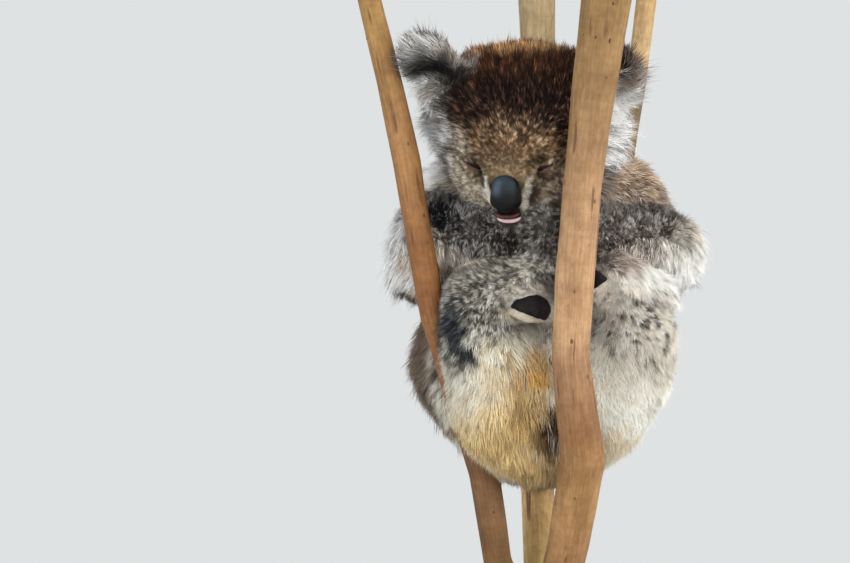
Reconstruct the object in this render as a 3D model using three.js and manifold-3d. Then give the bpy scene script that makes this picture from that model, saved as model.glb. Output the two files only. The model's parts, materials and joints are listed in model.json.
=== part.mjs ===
// A koala asleep in the fork of a eucalypt, at life size, on a plain display stand.
// Millimetres. +Z is up and the koala faces -Y, so its own left side is at +X.
// The animal is a set of rounded lobes, blended part by part into closed shells that follow the
// tips of the coat. Each shell is carved by those listed before it, so the parts meet with a
// hairline gap: bark first, then hard parts and hands, then limbs, head, neck and trunk.
import * as THREE from 'three';
import { mergeVertices } from 'three/addons/utils/BufferGeometryUtils.js';
import Module from 'manifold-3d';

const wasm = await Module();
wasm.setup();

// ---------------------------------------------------------------- driving dimensions

const GAP = 0.5;                 // how much wider a neighbour's cut is than the neighbour
const BASE_RADIUS = 165;         // round foot of the stand
const BASE_HEIGHT = 20;
const BASE_CHAMFER = 3;
const ROD_RADIUS = 7;
const ROD_LENGTH = 27;           // bare rod between the foot and the cut end of the fork
const ROD_SPREAD = 19;           // each rod's distance from the middle
const ROD_GAP = 0.3;
const FORK_DEPTH = 146;          // the rump's underside above the cut end of the fork
const SEAT = BASE_HEIGHT + ROD_LENGTH + FORK_DEPTH;    // the rump's underside above the floor
const LIMB_TOP = 440;            // where the branches are sawn off, above the rump's underside

// The head is bowed in sleep and turned towards its own right shoulder, in degrees.
const HEAD = new THREE.Vector3(-19, -68, 306);
const HEAD_PITCH = 42;
const HEAD_YAW = -16;
const HEAD_ROLL = 2;

const EYE_RADIUS = 8.5;
const CLAW_LENGTH = 15;
const CLAW_RADIUS = 2.8;
const CLAW_BEND = 4;              // how far its tip lies in front of its root

// ---------------------------------------------------------------- finishes

const finish = (color, roughness, metalness = 0) =>
  new THREE.MeshStandardMaterial({ color, roughness, metalness });
const COAT = finish(0x8a7d70, 0.95);
const DARK_COAT = finish(0x4c3d34, 0.95);
const PALE_COAT = finish(0xd8cdb6, 0.95);
const NOSE_SKIN = finish(0x34383c, 0.45);
const PAD_SKIN = finish(0x2b2529, 0.7);
const EYE_GLASS = finish(0x1c120c, 0.15);
const CLAW_HORN = finish(0x2e2925, 0.5);
const BARK = finish(0xb98a63, 0.8);
const STAND_WOOD = finish(0x3a2c22, 0.5);
const STEEL = finish(0x9a9c9f, 0.35, 1);

// ---------------------------------------------------------------- lobes

const at = (x, y, z) => new THREE.Vector3(x, y, z);
const radians = THREE.MathUtils.degToRad;
const lerp = THREE.MathUtils.lerp;

// Distance from an ellipsoid, below 0 inside it. turn holds degrees about X, Y and Z.
function ball(centre, radii, turn = [0, 0, 0]) {
  const into = new THREE.Matrix4()
    .makeRotationFromEuler(new THREE.Euler(...turn.map(radians)))
    .setPosition(centre)
    .invert();
  return (p) => {
    const q = p.clone().applyMatrix4(into).divide(radii);
    const share = q.length();
    const slope = q.divide(radii).length();
    return slope > 1e-9 ? share * (share - 1) / slope : -Math.min(radii.x, radii.y, radii.z);
  };
}

// Distance from a limb that tapers from radius ra at a to radius rb at b.
function limb(a, ra, b, rb) {
  const axis = b.clone().sub(a);
  return (p) => {
    const t = THREE.MathUtils.clamp(p.clone().sub(a).dot(axis) / axis.lengthSq(), 0, 1);
    return p.distanceTo(a.clone().addScaledVector(axis, t)) - lerp(ra, rb, t);
  };
}

const softMin = (a, b, softness) => {
  const overlap = Math.max(softness - Math.abs(a - b), 0) / softness;
  return Math.min(a, b) - overlap * overlap * softness / 4;
};

// Joins lobes with rounded creases.
const blend = (softness, ...lobes) => (p) =>
  lobes.map((lobe) => lobe(p)).reduce((a, b) => softMin(a, b, softness));

// Presses rounded hollows into a lobe.
const dent = (softness, lobe, ...hollows) => (p) =>
  -hollows.reduce((inside, hollow) => softMin(inside, hollow(p), softness), -lobe(p));

// ---------------------------------------------------------------- shells and solids

function solidFrom(geometry) {
  const bare = geometry.clone();
  bare.deleteAttribute('normal');
  bare.deleteAttribute('uv');
  const merged = mergeVertices(bare, 1e-3);
  return new wasm.Manifold(new wasm.Mesh({
    numProp: 3,
    vertProperties: merged.attributes.position.array,
    triVerts: new Uint32Array(merged.index.array),
  }));
}

function geometryFrom(solid) {
  const mesh = solid.getMesh();
  const geometry = new THREE.BufferGeometry();
  geometry.setAttribute('position', new THREE.BufferAttribute(mesh.vertProperties, 3));
  geometry.setIndex(new THREE.BufferAttribute(mesh.triVerts, 1));
  geometry.computeVertexNormals();
  return geometry;
}

// Steps outwards from inside a lobe until the surface is met.
function reach(lobe, start, direction) {
  let far = 0;
  for (let step = 0; step < 80; step += 1) {
    const inside = -lobe(start.clone().addScaledVector(direction, far));
    if (inside < 0.02) break;
    far += inside * 0.9;
  }
  return far;
}

// A closed shell on a lobe: an icosphere whose core is the line from a to b, pushed out to the
// surface, and by grow beyond it.
function shell(lobe, a, b, detail, grow = 0) {
  const sphere = new THREE.IcosahedronGeometry(1, detail);
  const middle = a.clone().add(b).multiplyScalar(0.5);
  const half = b.clone().sub(a).multiplyScalar(0.5);
  const axis = half.clone().normalize();
  const points = sphere.attributes.position;
  for (let i = 0; i < points.count; i += 1) {
    const direction = new THREE.Vector3().fromBufferAttribute(points, i).normalize();
    const core = middle.clone().addScaledVector(half, direction.dot(axis));
    const far = reach(lobe, core, direction) + grow;
    points.setXYZ(i, ...core.addScaledVector(direction, far).toArray());
  }
  return solidFrom(sphere);
}

// A round bough through stations of [x, y, z, radius], cut square at both ends.
function bough(stations, sides, steps, grow = 0) {
  const line = new THREE.CatmullRomCurve3(stations.map(([x, y, z]) => at(x, y, z)));
  const girth = new THREE.CatmullRomCurve3(stations.map((s, i) => at(i, s[3], 0)));
  const chord = line.getPoint(1).sub(line.getPoint(0)).normalize();
  const across = Math.abs(chord.y) > 0.8 ? at(1, 0, 0) : at(0, 1, 0);
  const tube = new THREE.CylinderGeometry(1, 1, 1, sides, steps);
  const points = tube.attributes.position;
  for (let i = 0; i < points.count; i += 1) {
    const [x, y, z] = new THREE.Vector3().fromBufferAttribute(points, i).toArray();
    const along = y + 0.5;
    const tangent = line.getTangent(along);
    const side = across.clone().cross(tangent).normalize();
    const radius = girth.getPoint(along).y + grow;
    const p = line.getPoint(along)
      .addScaledVector(side, x * radius)
      .addScaledVector(side.clone().cross(tangent), z * radius);
    points.setXYZ(i, ...p.toArray());
  }
  return solidFrom(tube);
}

// A flat-ended round bar standing on the floor plane of its own frame, with a chamfered rim.
function turned(radius, height, chamfer, segments) {
  const profile = [
    [0, 0], [radius - chamfer, 0], [radius, chamfer],
    [radius, height - chamfer], [radius - chamfer, height], [0, height],
  ].map(([r, z]) => new THREE.Vector2(r, z));
  return new THREE.LatheGeometry(profile, segments).rotateX(Math.PI / 2);
}

const figure = new THREE.Group();
figure.position.z = SEAT;
const carvers = [];              // what is already there, each a little grown

// Adds one named part. make(grow) gives its shell; whatever came first cuts into it.
function part(name, material, make) {
  const cut = carvers.reduce((solid, neighbour) => solid.subtract(neighbour), make(0));
  const largest = cut.decompose().sort((a, b) => b.volume() - a.volume())[0];
  const mesh = new THREE.Mesh(geometryFrom(largest), material);
  mesh.name = name;
  figure.add(mesh);
  carvers.push(make(GAP));
}

// ---------------------------------------------------------------- perch

// The branches meet in a fork under the rump. The front one is hugged by arms and feet.
const FORK = [-4, 4];            // x, y of the middle of the fork
const STUMP = [
  [...FORK, -FORK_DEPTH, 35],
  [...FORK, -118, 36],
  [...FORK, -94, 29],
];
const BRANCHES = {
  front: [
    [3, -8, -118, 18], [16, -34, -62, 17.5], [29, -78, 14, 20.5], [29, -96, 47, 19.5],
    [23, -111, 80, 17], [19, -127, 120, 16], [21, -138, 172, 17], [24, -140, 228, 16.5],
    [32, -141, 290, 17], [38, -139, 350, 19], [51, -136, LIMB_TOP, 23],
  ],
  left: [
    [-16, 3, -118, 14], [-41, -2, -63, 12.5], [-53, -14, 16, 13], [-76, -30, 84, 12],
    [-97, -48, 150, 11], [-110, -65, 222, 11.5], [-120, -70, 284, 12], [-134, -70, 350, 11],
    [-156, -66, LIMB_TOP, 10],
  ],
  back: [
    [-2, 18, -118, 18], [-3, 44, -64, 15], [-5, 84, 6, 15], [-6, 126, 92, 15], [-4, 143, 190, 14],
    [-1, 146, 320, 14], [-4, 146, LIMB_TOP, 17],
  ],
  side: [
    [6, 20, -112, 12], [20, 54, -58, 11], [34, 94, 22, 10], [48, 124, 110, 9], [62, 134, 210, 8.5],
    [81, 134, 330, 8.5], [95, 134, LIMB_TOP, 9.5],
  ],
};
const BOUGH_SIDES = { front: 10, left: 8, back: 8, side: 6 };
const BOUGH_STEPS = 8;

part('perch_stump', BARK, (grow) => bough(STUMP, 12, 2, grow));
for (const [name, stations] of Object.entries(BRANCHES)) {
  part(`perch_${name}_branch`, BARK, (grow) => bough(stations, BOUGH_SIDES[name], BOUGH_STEPS, grow));
}

// ---------------------------------------------------------------- head

// The head is drawn level, facing -Y, about the middle of the skull, then set in its place.
const headTurn = new THREE.Matrix4()
  .makeRotationFromEuler(new THREE.Euler(...[HEAD_PITCH, HEAD_ROLL, HEAD_YAW].map(radians), 'YZX'))
  .setPosition(HEAD);
const headBack = headTurn.clone().invert();
const face = (side, forward, up) => at(side, -forward, up);
const onHead = (p) => p.clone().applyMatrix4(headTurn);
const inHead = (lobe) => (p) => lobe(p.clone().applyMatrix4(headBack));
const headShell = (lobe, a, b, detail, grow) => shell(inHead(lobe), onHead(a), onHead(b), detail, grow);

const SIDES = { left: 1, right: -1 };
const eyeCentre = (side) => face(side * 32.5, 48, 7);

for (const [name, side] of Object.entries(SIDES)) {
  part(`eye_${name}`, EYE_GLASS, (grow) => headShell(
    ball(eyeCentre(side), at(EYE_RADIUS, EYE_RADIUS, EYE_RADIUS)),
    eyeCentre(side), eyeCentre(side).add(at(0, 0, 0.1)), 1, grow,
  ));
}

// The bare nose: a spoon of leather from between the eyes down to the lip.
const noseLobe = blend(6,
  ball(face(0, 71, 5.5), at(12.2, 9, 10.5), [-40, 0, 0]),
  ball(face(0, 78, -4.5), at(14.6, 10, 11.5), [-40, 0, 0]),
);
part('nose', NOSE_SKIN, (grow) => headShell(noseLobe, face(0, 73, 3), face(0, 77, -2), 2, grow));

const jawLobe = blend(8,
  ball(face(0, 76, -28), at(13, 10, 6)),
  ball(face(0, 58, -31), at(19, 22, 11)),
);
part('lower_jaw', PALE_COAT, (grow) => headShell(jawLobe, face(0, 58, -31), face(0, 72, -29), 1, grow));

// Each ear is a thick round cup on the top corner of the head, open towards the face.
const EARS = { left: { out: 84, up: 53 }, right: { out: 78, up: 66 } };   // the right ear is pricked
for (const [name, side] of Object.entries(SIDES)) {
  const { out, up } = EARS[name];
  const earLobe = dent(6,
    blend(8,
      ball(face(side * out, -12, up), at(34, 18, 32), [0, side * 18, -side * 18]),
      ball(face(side * (out - 22), -10, up - 16), at(26, 18, 26)),
    ),
    ball(face(side * (out + 6), 12, up - 1), at(20, 14, 18)),
  );
  part(`ear_${name}`, DARK_COAT, (grow) => headShell(
    earLobe, face(side * (out - 18), -16, up - 12), face(side * (out + 4), -17, up), 2, grow,
  ));
}

const skullLobe = dent(5,
  blend(16,
    ball(face(0, -8, 6), at(62, 74, 64)),
    ball(face(0, 20, 16), at(48, 42, 38)),
    ...[1, -1].flatMap((side) => [
      ball(face(side * 34, 14, -20), at(34, 38, 34)),
      ball(face(side * 42, -10, 41), at(36, 40, 28)),
      ball(face(side * 60, -2, 2), at(26, 24, 44)),
      ball(face(side * 78, -14, 10), at(24, 14, 40)),
    ]),
    ball(face(0, 52, -10), at(23, 32, 23)),
  ),
  ...[1, -1].map((side) => ball(face(side * 35, 61, 8), at(9, 8, 6))),
);
const lidSlit = (side) => headShell(
  ball(face(side * 32, 60, 6), at(11, 12, 1.1), [0, -side * 16, 0]),
  face(side * 32, 60, 6), face(side * 32, 60.1, 6), 0, 0,
);
carvers.push(lidSlit(1), lidSlit(-1));
part('skull', COAT, (grow) => headShell(skullLobe, face(0, -14, 6), face(0, 34, 0), 4, grow));

// ---------------------------------------------------------------- claws and pads

// A curved claw from the tip of a digit, pointing to +X or -X and bending forwards.
function claw(name, tip, across) {
  const stations = [0, 0.35, 0.7, 1].map((t) => [
    tip.x + across * t * CLAW_LENGTH,
    tip.y - t * t * CLAW_BEND,
    tip.z,
    CLAW_RADIUS * (1 - 0.85 * t * t),
  ]);
  part(name, CLAW_HORN, (grow) => bough(stations, 5, 2, grow));
}

// Every paw hooks its claws round the back of the front branch. across is the way they point.
const GRIPS = {
  hand_left: { from: at(3, -118, 239), to: at(3, -118, 213), digits: 5, across: 1 },
  hand_right: { from: at(14, -114, 204), to: at(16, -112, 184), digits: 5, across: 1 },
  foot_right: { from: at(12, -110, 166), to: at(12, -107, 148), digits: 4, across: 1 },
  foot_left: { from: at(38, -112, 176), to: at(38, -109, 158), digits: 4, across: -1 },
};
for (const [paw, { from, to, digits, across }] of Object.entries(GRIPS)) {
  for (let i = 0; i < digits; i += 1) {
    claw(`claw_${paw}_${i + 1}`, from.clone().lerp(to, i / (digits - 1)), across);
  }
}

const PADS = {
  foot_right: { centre: at(-16, -107, 157), radii: at(21, 9, 12), turn: [0, -14, 0] },
  foot_left: { centre: at(43, -109, 185), radii: at(10, 8, 12), turn: [0, 0, 0] },
};
for (const [foot, { centre, radii, turn }] of Object.entries(PADS)) {
  part(`pad_${foot}`, PAD_SKIN, (grow) => shell(
    ball(centre, radii, turn), centre, centre.clone().add(at(1, 0, 0)), 1, grow,
  ));
}

// ---------------------------------------------------------------- limbs

// A part blended from lobes of [centre, radii, turn]. The first and last lobes hold the ends of
// the shell's core, and detail sets how finely the shell is divided.
function lobed(name, material, softness, detail, lobes) {
  const [first, last] = [lobes[0], lobes[lobes.length - 1]];
  const lobe = blend(softness, ...lobes.map((l) => ball(l[0], l[1], l[2])));
  part(name, material, (grow) => shell(lobe, first[0], last[0], detail, grow));
}

// A limb that tapers from radius ra at a to radius rb at b.
function tapered(name, material, a, ra, b, rb, detail) {
  part(name, material, (grow) => shell(limb(a, ra, b, rb), a, b, detail, grow));
}

lobed('hand_left', COAT, 8, 1, [
  [at(-3, -108, 227), at(23, 20, 21)],
  [at(-10, -108, 222), at(16, 18, 15)],
]);
lobed('hand_right', COAT, 8, 1, [
  [at(-2, -86, 204), at(19, 16, 17)],
  [at(12, -98, 197), at(14, 13, 13)],
]);
lobed('foot_right', PALE_COAT, 8, 1, [
  [at(-26, -94, 164), at(20, 18, 18)],
  [at(0, -100, 156), at(20, 14, 15)],
]);
lobed('foot_left', PALE_COAT, 8, 1, [
  [at(60, -92, 182), at(20, 18, 18)],
  [at(42, -100, 174), at(16, 13, 16)],
]);

tapered('forearm_left', COAT, at(98, -22, 213), 35, at(22, -86, 223), 25, 2);
tapered('forearm_right', COAT, at(-98, -24, 226), 34, at(-16, -84, 224), 24, 2);
tapered('shin_right', COAT, at(-54, -70, 164), 39, at(-14, -88, 188), 23, 2);
tapered('shin_left', COAT, at(70, -66, 162), 40, at(50, -86, 190), 23, 2);

lobed('upper_arm_left', COAT, 16, 2, [
  [at(58, 12, 250), at(50, 52, 46)],
  [at(98, -8, 206), at(38, 36, 36)],
]);
lobed('upper_arm_right', COAT, 16, 2, [
  [at(-74, 12, 246), at(48, 52, 46)],
  [at(-101, -6, 199), at(37, 36, 36)],
]);
lobed('thigh_right', COAT, 24, 2, [
  [at(-42, -18, 82), at(52, 68, 77), [0, -16, 0]],
  [at(-55, -58, 138), at(42, 42, 42)],
]);
lobed('thigh_left', COAT, 24, 2, [
  [at(52, -16, 90), at(53, 68, 80), [0, 22, 0]],
  [at(72, -54, 144), at(41, 42, 44)],
]);

// ---------------------------------------------------------------- neck and trunk

lobed('neck', COAT, 20, 1, [
  [at(-12, -20, 294), at(56, 46, 44)],
  [at(0, 10, 262), at(78, 62, 54)],
]);
lobed('trunk', COAT, 30, 3, [
  [at(-8, 26, 108), at(110, 84, 80)],
  [at(0, -8, 80), at(80, 80, 80)],
  [at(0, 30, 176), at(102, 84, 84)],
  [at(2, 12, 236), at(92, 80, 72)],
]);

// ---------------------------------------------------------------- display stand

const model = new THREE.Group();
model.add(figure);

function addStand(name, geometry, material, position) {
  const mesh = new THREE.Mesh(geometry, material);
  mesh.name = `stand_${name}`;
  mesh.position.copy(position);
  model.add(mesh);
}

addStand('base', turned(BASE_RADIUS, BASE_HEIGHT, BASE_CHAMFER, 24), STAND_WOOD, at(0, 0, 0));
for (const [name, side] of Object.entries(SIDES)) {
  addStand(`rod_${name}`, turned(ROD_RADIUS, ROD_LENGTH - 2 * ROD_GAP, 0.5, 12), STEEL,
    at(FORK[0] + side * ROD_SPREAD, FORK[1], BASE_HEIGHT + ROD_GAP));
}

export default model;
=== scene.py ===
"""A koala asleep in a eucalypt fork: its skin, coat, face, claws, perch and display stand.

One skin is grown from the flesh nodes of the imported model, inside them by the depth of the coat.
The coat is laid over it as solid tapered tufts that follow the lie of the hair, and both carry the
same markings. Lengths are in metres, except in the rules for coat and markings, which say
millimetres.
"""
from __future__ import annotations

import json
import logging
import math
from dataclasses import dataclass, field
from enum import Enum

import bmesh
import bpy
import numpy as np
import openvdb
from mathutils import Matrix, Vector
from mathutils.bvhtree import BVHTree
from mathutils.kdtree import KDTree

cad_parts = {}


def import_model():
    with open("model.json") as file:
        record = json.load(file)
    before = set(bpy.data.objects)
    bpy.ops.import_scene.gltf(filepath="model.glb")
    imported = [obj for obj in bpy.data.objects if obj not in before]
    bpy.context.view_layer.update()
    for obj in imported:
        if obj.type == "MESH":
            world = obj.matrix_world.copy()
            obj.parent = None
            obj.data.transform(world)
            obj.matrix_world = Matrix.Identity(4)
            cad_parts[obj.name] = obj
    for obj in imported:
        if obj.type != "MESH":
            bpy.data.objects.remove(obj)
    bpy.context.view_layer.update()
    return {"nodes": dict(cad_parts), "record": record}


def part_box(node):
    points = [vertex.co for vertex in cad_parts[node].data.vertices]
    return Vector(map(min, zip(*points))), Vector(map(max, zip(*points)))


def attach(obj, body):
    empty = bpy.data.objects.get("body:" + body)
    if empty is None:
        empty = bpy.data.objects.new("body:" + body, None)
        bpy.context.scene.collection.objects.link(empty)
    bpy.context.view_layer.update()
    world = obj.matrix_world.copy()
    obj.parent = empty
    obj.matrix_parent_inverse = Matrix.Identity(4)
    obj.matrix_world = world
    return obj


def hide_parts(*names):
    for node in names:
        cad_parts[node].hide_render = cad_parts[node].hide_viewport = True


LOG = logging.getLogger("koala")
MM = 0.001
Array = np.ndarray
Finish = bpy.types.Material
Piece = bpy.types.Object
Socket = bpy.types.NodeSocket
Triple = tuple[float, float, float]


# ---- small helpers


class Slot(Enum):
    """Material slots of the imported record."""

    COAT = "coat"
    NOSE = "nose_leather"
    SOLE = "sole_leather"
    EYE = "eye"
    CLAW = "claw"
    BARK = "bark"
    STAND_WOOD = "stand_wood"
    STAND_STEEL = "stand_steel"


def tone(code: int) -> Array:
    """Turn a 0xRRGGBB colour into linear light.

    Args:
        code: The colour as it is written on a chart.

    Returns:
        Three linear values from 0 to 1.
    """
    parts = np.array([code >> 16 & 255, code >> 8 & 255, code & 255]) / 255.0
    return np.where(parts <= 0.04045, parts / 12.92, ((parts + 0.055) / 1.055) ** 2.4)


def rgba(code: int) -> tuple[float, float, float, float]:
    """Give a 0xRRGGBB colour as the four values a colour socket takes."""
    return (*(float(c) for c in tone(code)), 1.0)


def fill(node: bpy.types.Node, **values: object) -> None:
    """Set a node's inputs, whose names are written with _ for each space."""
    for name, value in values.items():
        node.inputs[name.replace("_", " ")].default_value = value


def grey(value: float) -> tuple[float, float, float, float]:
    """Make a neutral shader colour."""
    return (value, value, value, 1.0)


def smooth(low: float, high: float, values: Array) -> Array:
    """Rise smoothly from 0 at low to 1 at high, or fall where low is the larger."""
    t = np.clip((values - low) / (high - low), 0.0, 1.0)
    return t * t * (3.0 - 2.0 * t)


def unit(vectors: Array) -> Array:
    """Scale vectors to length 1."""
    return vectors / np.maximum(np.linalg.norm(vectors, axis=-1, keepdims=True), 1e-9)


def mix(a: Array, b: Array, share: Array) -> Array:
    """Blend from a to b by a share for each row."""
    share = share.reshape(-1, *([1] * (np.ndim(a) - 1)))
    return a * (1.0 - share) + b * share


def blend_corners(values: Array, low: Array, t: Array) -> Array:
    """Blend the eight values round each place.

    Args:
        values: A block of values, which repeats where places lie past its end.
        low: The block's cell that holds each place.
        t: How far the place is across its cell along each axis, from 0 to 1.

    Returns:
        One value for each place.
    """
    total = np.zeros(len(low))
    for corner in np.ndindex(2, 2, 2):
        weight = np.prod(np.where(np.array(corner) == 1, t, 1.0 - t), axis=1)
        i, j, k = ((low + corner) % values.shape).T
        total += weight * values[i, j, k]
    return total


class Noise:
    """Smooth random values in space, from -1 to 1, the same on every run."""

    SIZE = 32
    SHIFT = 1000.0              # keeps places above 0

    def __init__(self, seed: int, scale: float) -> None:
        """Make a field whose lumps are about scale metres across."""
        self.lattice = np.random.default_rng(seed).uniform(-1.0, 1.0, (self.SIZE,) * 3)
        self.scale = scale

    def __call__(self, points: Array) -> Array:
        """Read the field.

        Args:
            points: Places, one a row.

        Returns:
            One value for each place.
        """
        at = points / self.scale + self.SHIFT
        low = np.floor(at).astype(int)
        t = at - low
        return blend_corners(self.lattice, low, t * t * (3.0 - 2.0 * t))


@dataclass
class Grid:
    """A box of voxels that holds distances, for joining, eroding and rounding shapes."""

    low: Array
    high: Array
    voxel: float
    count: tuple[int, ...] = field(init=False)

    def __post_init__(self) -> None:
        """Work out how many voxels fill the box."""
        self.count = tuple(np.ceil((self.high - self.low) / self.voxel).astype(int) + 1)

    @staticmethod
    def around(points: Array, margin: float, voxel: float) -> "Grid":
        """Make the grid that holds some points with a margin round them."""
        return Grid(points.min(0) - margin, points.max(0) + margin, voxel)

    def distance(self, points: Array, faces: Array, band: float) -> Array:
        """Measure the distance from a closed mesh.

        Args:
            points: The mesh's vertices.
            faces: Its triangles.
            band: How far from the surface distances are kept apart.

        Returns:
            One value for each voxel, below 0 inside the mesh.
        """
        level = openvdb.FloatGrid.createLevelSetFromPolygons(
            (points - self.low).astype(np.float32),
            triangles=faces.astype(np.uint32),
            transform=openvdb.createLinearTransform(voxelSize=self.voxel),
            halfWidth=band / self.voxel,
        )
        values = np.zeros(self.count, np.float32)
        level.copyToArray(values)
        return values

    def blur(self, values: Array, passes: int) -> Array:
        """Average every voxel with its neighbours, a number of times.

        Args:
            values: One value for each voxel.
            passes: How many times.

        Returns:
            The averaged values.
        """
        for _ in range(passes):
            for axis in range(3):
                padded = np.pad(values, [(1, 1) if a == axis else (0, 0) for a in range(3)], "edge")
                first, middle, last = (
                    padded.take(range(k, k + values.shape[axis]), axis) for k in range(3)
                )
                values = (first + 2.0 * middle + last) * np.float32(0.25)
        return values

    def places(self) -> Array:
        """Give the position of every voxel, one a row."""
        axes = [low + np.arange(n) * self.voxel for low, n in zip(self.low, self.count)]
        return np.stack(np.meshgrid(*axes, indexing="ij"), -1).reshape(-1, 3)

    def read(self, values: Array, points: Array) -> Array:
        """Read values between voxels.

        Args:
            values: One value for each voxel.
            points: Places, one a row.

        Returns:
            One value for each place.
        """
        top = np.array(self.count) - 1.001
        at = np.clip((points - self.low) / self.voxel, 0.0, top)
        low = at.astype(int)
        return blend_corners(values, low, at - low)

    def slope(self, values: Array, points: Array) -> Array:
        """Give the unit direction in which values rise fastest at each place.

        Args:
            values: One value for each voxel.
            points: Places, one a row.

        Returns:
            One direction for each place.
        """
        steps = np.eye(3) * self.voxel
        return unit(np.stack([
            self.read(values, points + s) - self.read(values, points - s) for s in steps
        ], axis=1))

    def surface(self, values: Array) -> tuple[Array, Array]:
        """Mesh the surface where values pass 0.

        Args:
            values: One value for each voxel.

        Returns:
            The vertices, and the faces as rows of four corners.
        """
        grid = openvdb.FloatGrid()
        grid.copyFromArray(values.astype(np.float32), tolerance=0)
        grid.transform = openvdb.createLinearTransform(voxelSize=self.voxel)
        points, quads = grid.convertToQuads(isovalue=0.0)
        return points.astype(float) + self.low, quads.astype(np.int64)


def soft_union(a: Array, b: Array, softness: float) -> Array:
    """Join two distance fields with a fillet about softness wide."""
    overlap = np.maximum(np.float32(softness) - np.abs(a - b), 0) / np.float32(softness)
    return np.minimum(a, b) - overlap**2 * np.float32(0.25 * softness)


def triangles(faces: Array) -> Array:
    """Cut rows of four corners into triangles."""
    return np.concatenate([faces[:, [0, 1, 2]], faces[:, [0, 2, 3]]])


def sides_of(faces: Array) -> Array:
    """List the sides of triangles as pairs of corners."""
    return np.concatenate([faces[:, [0, 1]], faces[:, [1, 2]], faces[:, [2, 0]]])


def facing(corners: Array) -> Array:
    """Give each triangle's outward direction, as long as twice its area."""
    return np.cross(corners[:, 1] - corners[:, 0], corners[:, 2] - corners[:, 0])


def mesh_normals(mesh: bpy.types.Mesh) -> Array:
    """Read the outward directions at a mesh's vertices, one a row.

    Args:
        mesh: Any mesh.

    Returns:
        One unit direction for each vertex.
    """
    normals = np.empty(len(mesh.vertices) * 3, np.float32)
    mesh.vertices.foreach_get("normal", normals)
    return normals.reshape(-1, 3)


def move_vertices(mesh: bpy.types.Mesh, points: Array) -> None:
    """Put a mesh's vertices at new places."""
    mesh.vertices.foreach_set("co", points.astype(np.float32).ravel())
    mesh.update()


def mesh_arrays(mesh: bpy.types.Mesh) -> tuple[Array, Array]:
    """Read a mesh as arrays.

    Args:
        mesh: Any mesh.

    Returns:
        Its vertices and its triangles, one a row.
    """
    points = np.empty(len(mesh.vertices) * 3, np.float32)
    mesh.vertices.foreach_get("co", points)
    mesh.calc_loop_triangles()
    faces = np.empty(len(mesh.loop_triangles) * 3, np.int32)
    mesh.loop_triangles.foreach_get("vertices", faces)
    return points.reshape(-1, 3).astype(float), faces.reshape(-1, 3)


def linked(name: str, data: bpy.types.ID) -> Piece:
    """Put some data into the scene as an object at the origin.

    Args:
        name: The object's name.
        data: A mesh, lamp or camera.

    Returns:
        The new object.
    """
    made = bpy.data.objects.new(name, data)
    bpy.context.scene.collection.objects.link(made)
    return made


def new_object(name: str, points: Array, faces: Array) -> Piece:
    """Make a smooth-shaded mesh object at the origin.

    Args:
        name: The piece's name.
        points: Vertices in metres, one a row.
        faces: Corners, one face a row, all with the same number of corners.

    Returns:
        The new object, linked to the scene.
    """
    sides = faces.shape[1]
    mesh = bpy.data.meshes.new(name)
    mesh.vertices.add(len(points))
    mesh.vertices.foreach_set("co", points.astype(np.float32).ravel())
    mesh.loops.add(faces.size)
    mesh.loops.foreach_set("vertex_index", faces.astype(np.int32).ravel())
    mesh.polygons.add(len(faces))
    mesh.polygons.foreach_set("loop_start", np.arange(0, faces.size, sides, dtype=np.int32))
    smooth_faces(mesh)
    mesh.update(calc_edges=True)
    return linked(name, mesh)


def closed_object(name: str, points: Array, faces: Array) -> Piece:
    """Make a smooth-shaded object of a closed surface, with its faces turned outwards.

    Args:
        name: The piece's name.
        points: Vertices in metres, one a row.
        faces: Corners, one face a row.

    Returns:
        The new object, linked to the scene.
    """
    piece = new_object(name, points, faces)
    work = bmesh.new()
    work.from_mesh(piece.data)
    bmesh.ops.recalc_face_normals(work, faces=work.faces)
    work.to_mesh(piece.data)
    work.free()
    return piece


def object_of(name: str, work: bmesh.types.BMesh) -> Piece:
    """Turn a finished bmesh into a smooth-shaded object.

    Args:
        name: The piece's name.
        work: The bmesh, which is freed.

    Returns:
        The new object, linked to the scene.
    """
    mesh = bpy.data.meshes.new(name)
    work.to_mesh(mesh)
    work.free()
    smooth_faces(mesh)
    return linked(name, mesh)


def smooth_faces(mesh: bpy.types.Mesh) -> None:
    """Shade every face of a mesh smoothly."""
    mesh.polygons.foreach_set("use_smooth", np.ones(len(mesh.polygons), bool))


def largest_shell(points: Array, faces: Array) -> tuple[Array, Array]:
    """Drop every loose shell but the largest.

    Args:
        points: Vertices, one a row.
        faces: Corners, one face a row.

    Returns:
        The vertices and faces that stay.
    """
    owner = np.arange(len(points))
    while True:
        least = owner[faces].min(axis=1)
        fresh = owner.copy()
        for corner in faces.T:
            np.minimum.at(fresh, corner, least)
        fresh = fresh[fresh]
        if np.array_equal(fresh, owner):
            break
        owner = fresh
    names, sizes = np.unique(owner, return_counts=True)
    keep = owner == names[sizes.argmax()]
    order = np.cumsum(keep) - 1
    return points[keep], order[faces[keep[faces[:, 0]]]]


def paint(mesh: bpy.types.Mesh, name: str, colours: Array) -> None:
    """Store one linear colour for each vertex.

    Args:
        mesh: The mesh to colour.
        name: The colour layer's name.
        colours: Linear red, green and blue, one vertex a row.
    """
    layer = mesh.color_attributes.new(name=name, type="FLOAT_COLOR", domain="POINT")
    values = np.concatenate([colours, np.ones((len(colours), 1))], axis=1)
    layer.data.foreach_set("color", values.astype(np.float32).ravel())


def finish_piece(piece: Piece, material: Finish, slot: Slot, *nodes: str) -> Piece:
    """Dress a piece, tie it to the frame and report it.

    Args:
        piece: The finished object.
        material: Its material.
        slot: The record's slot that it stands for; not used.
        *nodes: CAD nodes that it stands for.

    Returns:
        The piece.
    """
    if not piece.data.materials:
        piece.data.materials.append(material)
    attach(piece, "root")
    if nodes:
        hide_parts(*nodes)
    LOG.info("%s: %d faces", piece.name, len(piece.data.polygons))
    return piece


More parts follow.
